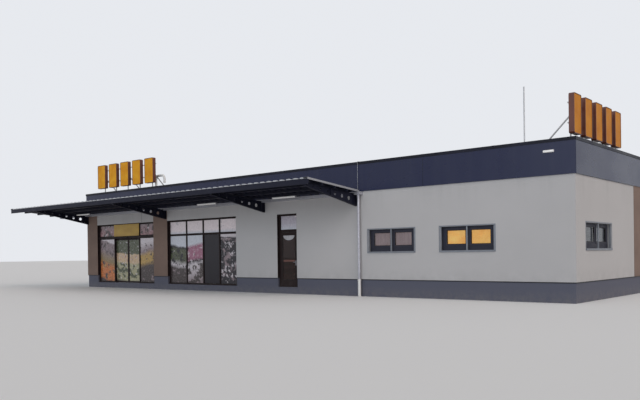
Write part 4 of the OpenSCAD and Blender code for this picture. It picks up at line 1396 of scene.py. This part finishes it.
def batten(bm, box):
    """A canopy light: its tray, its end caps and its rounded diffuser, which hang along the slope."""
    middle = middle_of(box)
    length = box[1].x - box[0].x
    depth = 0.09
    height = 0.065
    tray_h = 0.02
    cap = 0.022
    x, y, z = length / 2, depth / 2, height / 2
    made = block(bm, (-x, -y, z - tray_h), (x, y, z))
    made += block(bm, (cap - x, 0.006 - y, -z), (x - cap, y - 0.006, z - tray_h), tone=1)
    for low, high in ((-x, cap - x), (x - cap, x)):
        made += block(bm, (low, 0.003 - y, -z), (high, y - 0.003, z - tray_h))
    place = Matrix.Translation(middle) @ Matrix.Rotation(-SHEET_TILT, 4, "X")
    bmesh.ops.transform(bm, matrix=place, verts=made)


def make_battens():
    """The three lights under the canopy, in place of their plain solids."""
    bm = bmesh.new()
    for box in loose_boxes("canopy_lights"):
        batten(bm, box)
    soften(bm, 0.006, segments=3)
    piece = make_piece("canopy_battens", bm, ["bare_aluminium", "lamp_white"])
    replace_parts(piece, "canopy_lights")


def make_wall_lamp():
    """The lamp on the band: a back plate, a housing and a diffuser that faces down and out."""
    low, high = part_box("wall_lamp")
    bm = bmesh.new()
    block(bm, (low.x, high.y - 0.012, low.z), (high.x, high.y, high.z), tone=1)
    outline = (
        (low.x + 0.006, high.y - 0.012, low.z + 0.004), (low.x + 0.006, high.y - 0.012, high.z - 0.004),
        (low.x + 0.006, low.y + 0.03, high.z - 0.004), (low.x + 0.006, low.y, high.z - 0.034),
        (low.x + 0.006, low.y, low.z + 0.02), (low.x + 0.006, low.y + 0.016, low.z + 0.004),
    )
    extrusion(bm, outline, (high.x - low.x - 0.012, 0, 0))
    soften(bm, 0.004, angle=25.0)
    piece = make_piece("band_lamp", bm, ["lamp_white", "bare_aluminium"])
    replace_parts(piece, "wall_lamp")


class SHOP_OT_lights(bpy.types.Operator):
    """Makes the three lights under the canopy and the small lamp on the band"""

    bl_idname = "shop.lights"
    bl_label = "Lights"

    def execute(self, context):
        make_battens()
        make_wall_lamp()
        return {"FINISHED"}


def pane_frame(box):
    """Axes of a pane: the one across it, and the one through it with the sign of its outer side."""
    size = box[1] - box[0]
    if size.y < size.x:
        return 0, 1, -1
    return 1, 0, 1


def pane_block(bm, pane, span, rise, out):
    """A box on a pane: span and rise are distances along and up it, and out from its middle plane."""
    across, through, outer = pane_frame(pane)
    middle = middle_of(pane)[through]
    low = Vector((0.0, 0.0, pane[0].z + rise[0]))
    high = Vector((0.0, 0.0, pane[0].z + rise[1]))
    low[across] = pane[0][across] + span[0]
    high[across] = pane[0][across] + span[1]
    low[through], high[through] = sorted(middle + outer * value for value in out)
    block(bm, low, high)


def bead_panes(nodes, name, body="building"):
    """Glazing beads and rubber gaskets round both faces of every pane in these nodes."""
    bead = 0.014
    seal = 0.004
    beads = bmesh.new()
    seals = bmesh.new()
    for node in nodes:
        for pane in loose_boxes(node):
            across, through, _ = pane_frame(pane)
            width = pane[1][across] - pane[0][across]
            height = pane[1].z - pane[0].z
            skin = (pane[1][through] - pane[0][through]) / 2
            for side in (-1, 1):
                inner = side * (skin - HAIR)
                edge_ring(beads, pane, width, height, 0.0, bead, (inner, side * (skin + 0.009)))
                edge_ring(seals, pane, width, height, bead, seal, (inner, side * (skin + 0.005)))
    soften(beads, 0.002)
    make_piece(f"{name}_beads", beads, ["frame_aluminium"], body)
    make_piece(f"{name}_gaskets", seals, ["rubber"], body)


def edge_ring(bm, pane, width, height, inset, bar, out):
    """Four bars round a pane, inset from its edges."""
    far = inset + bar
    pane_block(bm, pane, (inset, width - inset), (inset, far), out)
    pane_block(bm, pane, (inset, width - inset), (height - far, height - inset), out)
    pane_block(bm, pane, (inset, far), (far, height - far), out)
    pane_block(bm, pane, (width - far, width - inset), (far, height - far), out)


def film(name, pane, finish_name, body="building"):
    """A thin film on a pane's outer face, inside its beads."""
    margin = 0.022
    across, through, _ = pane_frame(pane)
    width = pane[1][across] - pane[0][across]
    height = pane[1].z - pane[0].z
    skin = (pane[1][through] - pane[0][through]) / 2
    bm = bmesh.new()
    out = (skin + 0.0002, skin + 0.0009)
    pane_block(bm, pane, (margin, width - margin), (margin, height - margin), out)
    make_piece(name, bm, [finish_name], body)


class SHOP_OT_entrance(bpy.types.Operator):
    """Finishes the entrance: its frame, panes, plain panel, sensor, threshold and films"""

    bl_idname = "shop.entrance"
    bl_label = "Entrance"

    def execute(self, context):
        edge = settings("shop_openings").edge
        soft_solid("entrance_frame", edge, ["frame_aluminium"])
        soft_solid("door_operator", edge, ["frame_aluminium"])
        soft_solid("entrance_sign_panel", 0.004, ["sign_yellow"])
        dress("entrance_glass", "clear_glass")
        bead_panes(["entrance_glass"], "entrance")
        fit_sensor()
        lay_threshold()
        left_low, left_top, _, right_low, right_top = loose_boxes("entrance_glass")
        film("film_left_top", left_top, "header_light")
        film("film_right_top", right_top, "header_light")
        film("film_left_light", left_low, "left_light")
        film("film_right_light", right_low, "right_light")
        return {"FINISHED"}


def fit_sensor():
    """The movement sensor on the transom over the sliding doors."""
    low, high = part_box("entrance_sign_panel")
    frame_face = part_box("entrance_frame")[0].y
    x = (low.x + high.x) / 2
    z = low.z - 0.07
    bm = bmesh.new()
    wide = 0.26
    section = ((0.0, -0.03), (0.0, 0.03), (0.03, 0.03), (0.05, 0.005), (0.05, -0.02), (0.035, -0.03))
    outline = [(x - wide / 2, frame_face - out, z + up) for out, up in section]
    extrusion(bm, outline, (wide, 0, 0))
    soften(bm, 0.005, angle=20.0)
    make_piece("door_sensor", bm, ["rubber"])


def lay_threshold():
    """Low ribbed aluminium plates on the floor of the two doorways."""
    low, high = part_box("entrance_sign_panel")
    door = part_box("side_door_frame")
    skin = 0.0022
    pitch = 0.02
    jamb = 0.081
    bm = bmesh.new()
    for x0, x1, y0, y1 in (
        (low.x + 0.03, high.x - 0.03, FRONT + 0.03, FRONT + 0.27),
        (door[0].x + jamb, door[1].x - jamb, FRONT + 0.06, FRONT + 0.25),
    ):
        for i in range(math.floor((y1 - y0) / pitch)):
            y = y0 + i * pitch
            block(bm, (x0, y, FLOOR), (x1, y + 0.014, FLOOR + skin))
        block(bm, (x0, y0, FLOOR), (x1, y1, FLOOR + skin / 2))
    make_piece("thresholds", bm, ["bare_aluminium"])


class SHOP_OT_sliding_doors(bpy.types.Operator):
    """Finishes the two sliding leaves, which each carry their glass, seals and films"""

    bl_idname = "shop.sliding_doors"
    bl_label = "Sliding doors"

    def execute(self, context):
        edge = settings("shop_openings").edge
        for side in ("left", "right"):
            body = f"{side}_leaf"
            soft_solid(f"sliding_door_{side}", edge, ["frame_aluminium"], body=body)
            dress(f"sliding_glass_{side}", "clear_glass")
            bead_panes([f"sliding_glass_{side}"], f"sliding_{side}", body)
            pane = loose_boxes(f"sliding_glass_{side}")[0]
            film(f"film_{side}_leaf", pane, "door_leaf", body=body)
            self.seal_edge(side, body)
        return {"FINISHED"}

    def seal_edge(self, side, body):
        """A rubber seal on the edge where the two leaves meet."""
        low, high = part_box(f"sliding_door_{side}")
        x = high.x if side == "left" else low.x
        out = 0.0014 if side == "left" else -0.0014
        near, far = sorted((x, x + out))
        bm = bmesh.new()
        block(bm, (near, low.y + 0.01, low.z + 0.01), (far, high.y - 0.01, high.z - 0.02))
        make_piece(f"leaf_seal_{side}", bm, ["rubber"], body)


class SHOP_OT_shop_window(bpy.types.Operator):
    """Finishes the shop window: its frame, panes and films"""

    bl_idname = "shop.shop_window"
    bl_label = "Shop window"
    looks = ("shop_first", "shop_second", "dark_film", "shop_fourth")

    def execute(self, context):
        edge = settings("shop_openings").edge
        soft_solid("shop_window_frame", edge, ["frame_aluminium"])
        dress("shop_window_glass", "clear_glass")
        bead_panes(["shop_window_glass"], "shop_window")
        panes = loose_boxes("shop_window_glass")
        for number, pane in enumerate(panes[1::2], 1):
            film(f"film_shop_head_{number}", pane, "shop_head")
        for number, (pane, look) in enumerate(zip(panes[0::2], self.looks), 1):
            film(f"film_shop_{number}", pane, look)
        return {"FINISHED"}


def make_lever():
    """A lever handle with its plate and lock cylinder on both faces of the side door's leaf."""
    low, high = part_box("side_door_leaf")
    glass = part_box("side_door_glass")
    x = (glass[1].x + high.x) / 2
    z = FLOOR + 1.06
    bm = bmesh.new()
    for y, out in ((FRONT + LEAF_IN, -1), (FRONT + LEAF_IN + LEAF_T, 1)):
        near, far = sorted((y, y + out * 0.008))
        grip = y + out * 0.045
        block(bm, (x - 0.018, near, z - 0.14), (x + 0.018, far, z + 0.07))
        rod(bm, (x, y, z), (x, y + out * 0.05, z), 0.009, sides=20)
        rod(bm, (x + 0.008, grip, z), (x - 0.115, grip, z), 0.010, sides=20)
        rod(bm, (x, y, z - 0.085), (x, y + out * 0.014, z - 0.085), 0.013, sides=24)
    soften(bm, 0.002)
    make_piece("door_lever", bm, ["bare_aluminium"], "side_leaf")


def paint_head_glare():
    """A pale film with a round lower edge at the head of the side door's glass: a painted reflection of
    glare.
    """
    low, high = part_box("side_door_glass")
    inset = 0.03
    drop = 0.2
    steps = 20
    middle = (low.x + high.x) / 2
    half = (high.x - low.x) / 2 - inset
    turns = [math.pi * step / steps for step in range(steps + 1)]
    outline = [
        (middle - half * math.cos(turn), low.y - 0.0009, high.z - inset - drop * math.sin(turn))
        for turn in turns
    ]
    bm = bmesh.new()
    extrusion(bm, outline, (0, 0.0007, 0))
    make_piece("film_door_head", bm, ["frost_film"], "side_leaf")


class SHOP_OT_side_door(bpy.types.Operator):
    """Finishes the hinged side door: its frame, fanlight, leaf, push bar, lever and films"""

    bl_idname = "shop.side_door"
    bl_label = "Side door"

    def execute(self, context):
        edge = settings("shop_openings").edge
        soft_solid("side_door_frame", edge, ["frame_aluminium"])
        soft_solid("side_door_leaf", edge, ["frame_aluminium"], body="side_leaf")
        # The push bar's weak glow is painted light
        soft_solid("push_bar", 0.012, ["bar_enamel"], body="side_leaf", segments=3)
        dress("fanlight_glass", "clear_glass")
        dress("side_door_glass", "brown_glass")
        bead_panes(["fanlight_glass"], "fanlight")
        film("film_fanlight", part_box("fanlight_glass"), "fanlight")
        bead_panes(["side_door_glass"], "side_leaf", "side_leaf")
        paint_head_glare()
        make_lever()
        return {"FINISHED"}


def roller_blind(name, window, finish_name):
    """A cloth blind behind a window, with its roller above and its bar below."""
    low, high = window
    y = high.y + 0.05
    bm = bmesh.new()
    block(bm, (low.x + 0.03, y, low.z + 0.03), (high.x - 0.03, y + 0.0015, high.z - 0.04))
    axis = high.z - 0.045
    rod(bm, (low.x + 0.02, y + 0.01, axis), (high.x - 0.02, y + 0.01, axis), 0.022, sides=24)
    block(bm, (low.x + 0.03, y - 0.004, low.z + 0.02), (high.x - 0.03, y + 0.006, low.z + 0.045), tone=1)
    soften(bm, 0.0005)
    make_piece(name, bm, [finish_name, "bare_aluminium"])


def slat_blind(name, window):
    """An upright slat blind behind the side window, with its rail above."""
    low, high = window
    x = low.x - 0.06
    slat = 0.089
    count = math.floor((high.y - low.y) / 0.095)
    bm = bmesh.new()
    for i in range(count):
        y = low.y + (i + 0.5) * (high.y - low.y) / count
        made = block(bm, (-0.0006, -slat / 2, low.z + 0.05), (0.0006, slat / 2, high.z - 0.03))
        turn = Matrix.Translation((x, y, 0.0)) @ Matrix.Rotation(math.radians(24), 4, "Z")
        bmesh.ops.transform(bm, matrix=turn, verts=made)
    block(bm, (x - 0.02, low.y + 0.01, high.z - 0.035), (x + 0.02, high.y - 0.01, high.z - 0.004), tone=1)
    make_piece(name, bm, ["slat_cloth", "bare_aluminium"])


def trim_office_windows():
    """Metal profiles round the head and the sides of the office windows, on the wall's face."""
    wide = 0.042
    proud = 0.005
    sill_t = 0.06
    bm = bmesh.new()
    for window in office_openings():
        across, through, outer = pane_frame(window)
        face = FRONT if through == 1 else RIGHT
        left, right = window[0][across], window[1][across]
        foot = window[0].z - sill_t
        head = window[1].z
        bars = ((left - wide, left, foot), (right, right + wide, foot), (left, right, head))
        for start, end, low_z in bars:
            low = Vector((0.0, 0.0, low_z))
            high = Vector((0.0, 0.0, head + wide))
            low[across] = start
            high[across] = end
            low[through], high[through] = sorted((face - outer * 0.002, face + outer * proud))
            block(bm, low, high)
    soften(bm, 0.0015)
    make_piece("window_trims", bm, ["guide_rail"])


class SHOP_OT_office_windows(bpy.types.Operator):
    """Finishes the three office windows with their rails, sills, trims, beads and blinds"""

    bl_idname = "shop.office_windows"
    bl_label = "Office windows"

    def execute(self, context):
        edge = settings("shop_openings").edge
        soft_solid("office_window_frames", edge, ["office_frame"])
        soft_solid("blind_rails", 0.002, ["guide_rail"])
        trim_office_windows()
        dress("office_window_glass", "clear_glass")
        bead_panes(["office_window_glass"], "office")
        first, second, side = office_openings()
        roller_blind("office_blind", first, "blind_cloth")
        roller_blind("office_blind_lit", second, "lit_blind")
        slat_blind("office_slats", side)
        return {"FINISHED"}


def office_openings():
    """The box of each office window's frame: two in the front, and one in the right side."""
    whole = []
    for low, high in loose_boxes("office_window_frames"):
        near = [box for box in whole if touches(box, (low, high))]
        for box in near:
            whole.remove(box)
            low = Vector(map(min, low, box[0]))
            high = Vector(map(max, high, box[1]))
        whole.append((low, high))
    return sorted(whole, key=lambda box: box[0].x)


def touches(first, second):
    """Whether two boxes meet or lie within two centimetres of each other."""
    reach = 0.02
    return all(first[0][i] <= second[1][i] + reach and second[0][i] <= first[1][i] + reach for i in range(3))


def sign_side(face):
    """Finish of a face of the light boxes: 0 on their lit faces and 1 on their sides and backs."""
    middle = face.calc_center_median()
    in_front = middle.x < 0 and face.normal.y < -0.9
    on_right = middle.x > RIGHT - 0.4 and middle.y > FRONT + 0.2 and face.normal.x > 0.9
    return 0 if in_front or on_right else 1


def make_light_boxes():
    """The light boxes with a rim round each face, in place of their plain solids."""
    rim = 0.022
    sink = 0.012
    bm = merged_copy("sign_boxes")
    for face in bm.faces:
        face.material_index = sign_side(face)
    lit = [face for face in bm.faces if face.material_index == 0]
    made = bmesh.ops.inset_individual(bm, faces=lit, thickness=rim, depth=0.0, use_even_offset=True)
    for face in made["faces"]:
        face.material_index = 1
    soften(bm, 0.006)
    sunk = [face for face in bm.faces if face.material_index == 0]
    walls = bmesh.ops.inset_individual(bm, faces=sunk, thickness=0.001, depth=-sink, use_even_offset=True)
    for face in walls["faces"]:
        face.material_index = 1
    piece = make_piece("light_boxes", bm, ["sign_face", "sign_return"])
    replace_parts(piece, "sign_boxes")


def bed_sign_posts():
    """Foot plates with their bolts under the signs' posts and braces."""
    plate = 0.01
    bm = bmesh.new()
    for node in ("sign_posts", "sign_braces"):
        for low, high in loose_boxes(node):
            wide = high - low
            if node == "sign_posts":
                x, y = (low.x + high.x) / 2, (low.y + high.y) / 2
            elif wide.y > wide.x:
                x, y = (low.x + high.x) / 2, high.y - 0.028
            else:
                x, y = low.x + 0.028, (low.y + high.y) / 2
            block(bm, (x - 0.08, y - 0.08, ROOF), (x + 0.08, y + 0.08, ROOF + plate))
            for dx in (-0.055, 0.055):
                for dy in (-0.055, 0.055):
                    hexagon_bolt(bm, (x + dx, y + dy, ROOF + plate), (0, 0, 1), 0.014)
    make_piece("sign_foot_plates", bm, ["galvanised"])


class SHOP_OT_signs(bpy.types.Operator):
    """Makes the two rows of plain light boxes on the roof and finishes the steel behind them"""

    bl_idname = "shop.signs"
    bl_label = "Roof signs"

    def execute(self, context):
        make_light_boxes()
        for node in ("sign_rails", "sign_posts", "sign_braces"):
            soft_solid(node, 0.003, ["sign_steel"])
        bed_sign_posts()
        return {"FINISHED"}


def run_conductor():
    """A lightning rod's wire down the band, held by clips and clamped to the gutter."""
    x = 5.375
    face = BAND_LOW.y - 0.008
    y = face - 0.022
    bm = bmesh.new()
    over = COPING_HIGH.z + 0.015
    rod(bm, (x, y, GUTTER_HIGH.z - 0.06), (x, y, over), 0.005, sides=12)
    rod(bm, (x, y, over), (x, BAND_HIGH.y + 0.03, over), 0.005, sides=12)
    for z in (BAND_FOOT + 0.12, BAND_FOOT + 0.52, BAND_FOOT + 0.92):
        block(bm, (x - 0.012, y - 0.008, z), (x + 0.012, face, z + 0.02))
    block(bm, (x - 0.018, y - 0.009, GUTTER_HIGH.z - 0.07), (x + 0.018, y + 0.009, GUTTER_HIGH.z - 0.035))
    soften(bm, 0.001)
    make_piece("conductor_wire", bm, ["galvanised"])


class SHOP_OT_roof_fittings(bpy.types.Operator):
    """Finishes the mast and the cable neck, and runs the conductor down the band"""

    bl_idname = "shop.roof_fittings"
    bl_label = "Roof fittings"

    def execute(self, context):
        soft_solid("roof_mast", 0.001, ["galvanised"])
        soft_solid("roof_cable_neck", 0.001, ["standpipe_paint"])
        run_conductor()
        return {"FINISHED"}


OPERATORS = (
    SHOP_OT_stage,
    SHOP_OT_camera,
    SHOP_OT_walls,
    SHOP_OT_band,
    SHOP_OT_roof,
    SHOP_OT_canopy,
    SHOP_OT_gutter,
    SHOP_OT_lights,
    SHOP_OT_entrance,
    SHOP_OT_sliding_doors,
    SHOP_OT_shop_window,
    SHOP_OT_side_door,
    SHOP_OT_office_windows,
    SHOP_OT_signs,
    SHOP_OT_roof_fittings,
)


class SHOP_PT_panel(bpy.types.Panel):
    """Lists the settings and the steps in the sidebar of the 3D view"""

    bl_idname = "SHOP_PT_panel"
    bl_label = "Supermarket Building"
    bl_space_type = "VIEW_3D"
    bl_region_type = "UI"
    bl_category = "Shop"

    def draw(self, context):
        for name, group in GROUPS.items():
            box = self.layout.box()
            box.label(text=name.removeprefix("shop_").capitalize())
            for item in group.__annotations__:
                box.prop(getattr(context.scene, name), item)
        for operator in OPERATORS:
            self.layout.operator(operator.bl_idname)


def register():
    for name, group in GROUPS.items():
        bpy.utils.register_class(group)
        setattr(bpy.types.Scene, name, PointerProperty(type=group))
    for item in (*OPERATORS, SHOP_PT_panel):
        bpy.utils.register_class(item)


def unregister():
    for item in (SHOP_PT_panel, *reversed(OPERATORS)):
        bpy.utils.unregister_class(item)
    for name, group in reversed(list(GROUPS.items())):
        delattr(bpy.types.Scene, name)
        bpy.utils.unregister_class(group)


def main():
    """Registers the add-on and builds every piece in order."""
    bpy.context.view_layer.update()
    register()
    for operator in OPERATORS:
        area, name = operator.bl_idname.split(".")
        getattr(getattr(bpy.ops, area), name)()


if __name__ == "__main__":
    main()
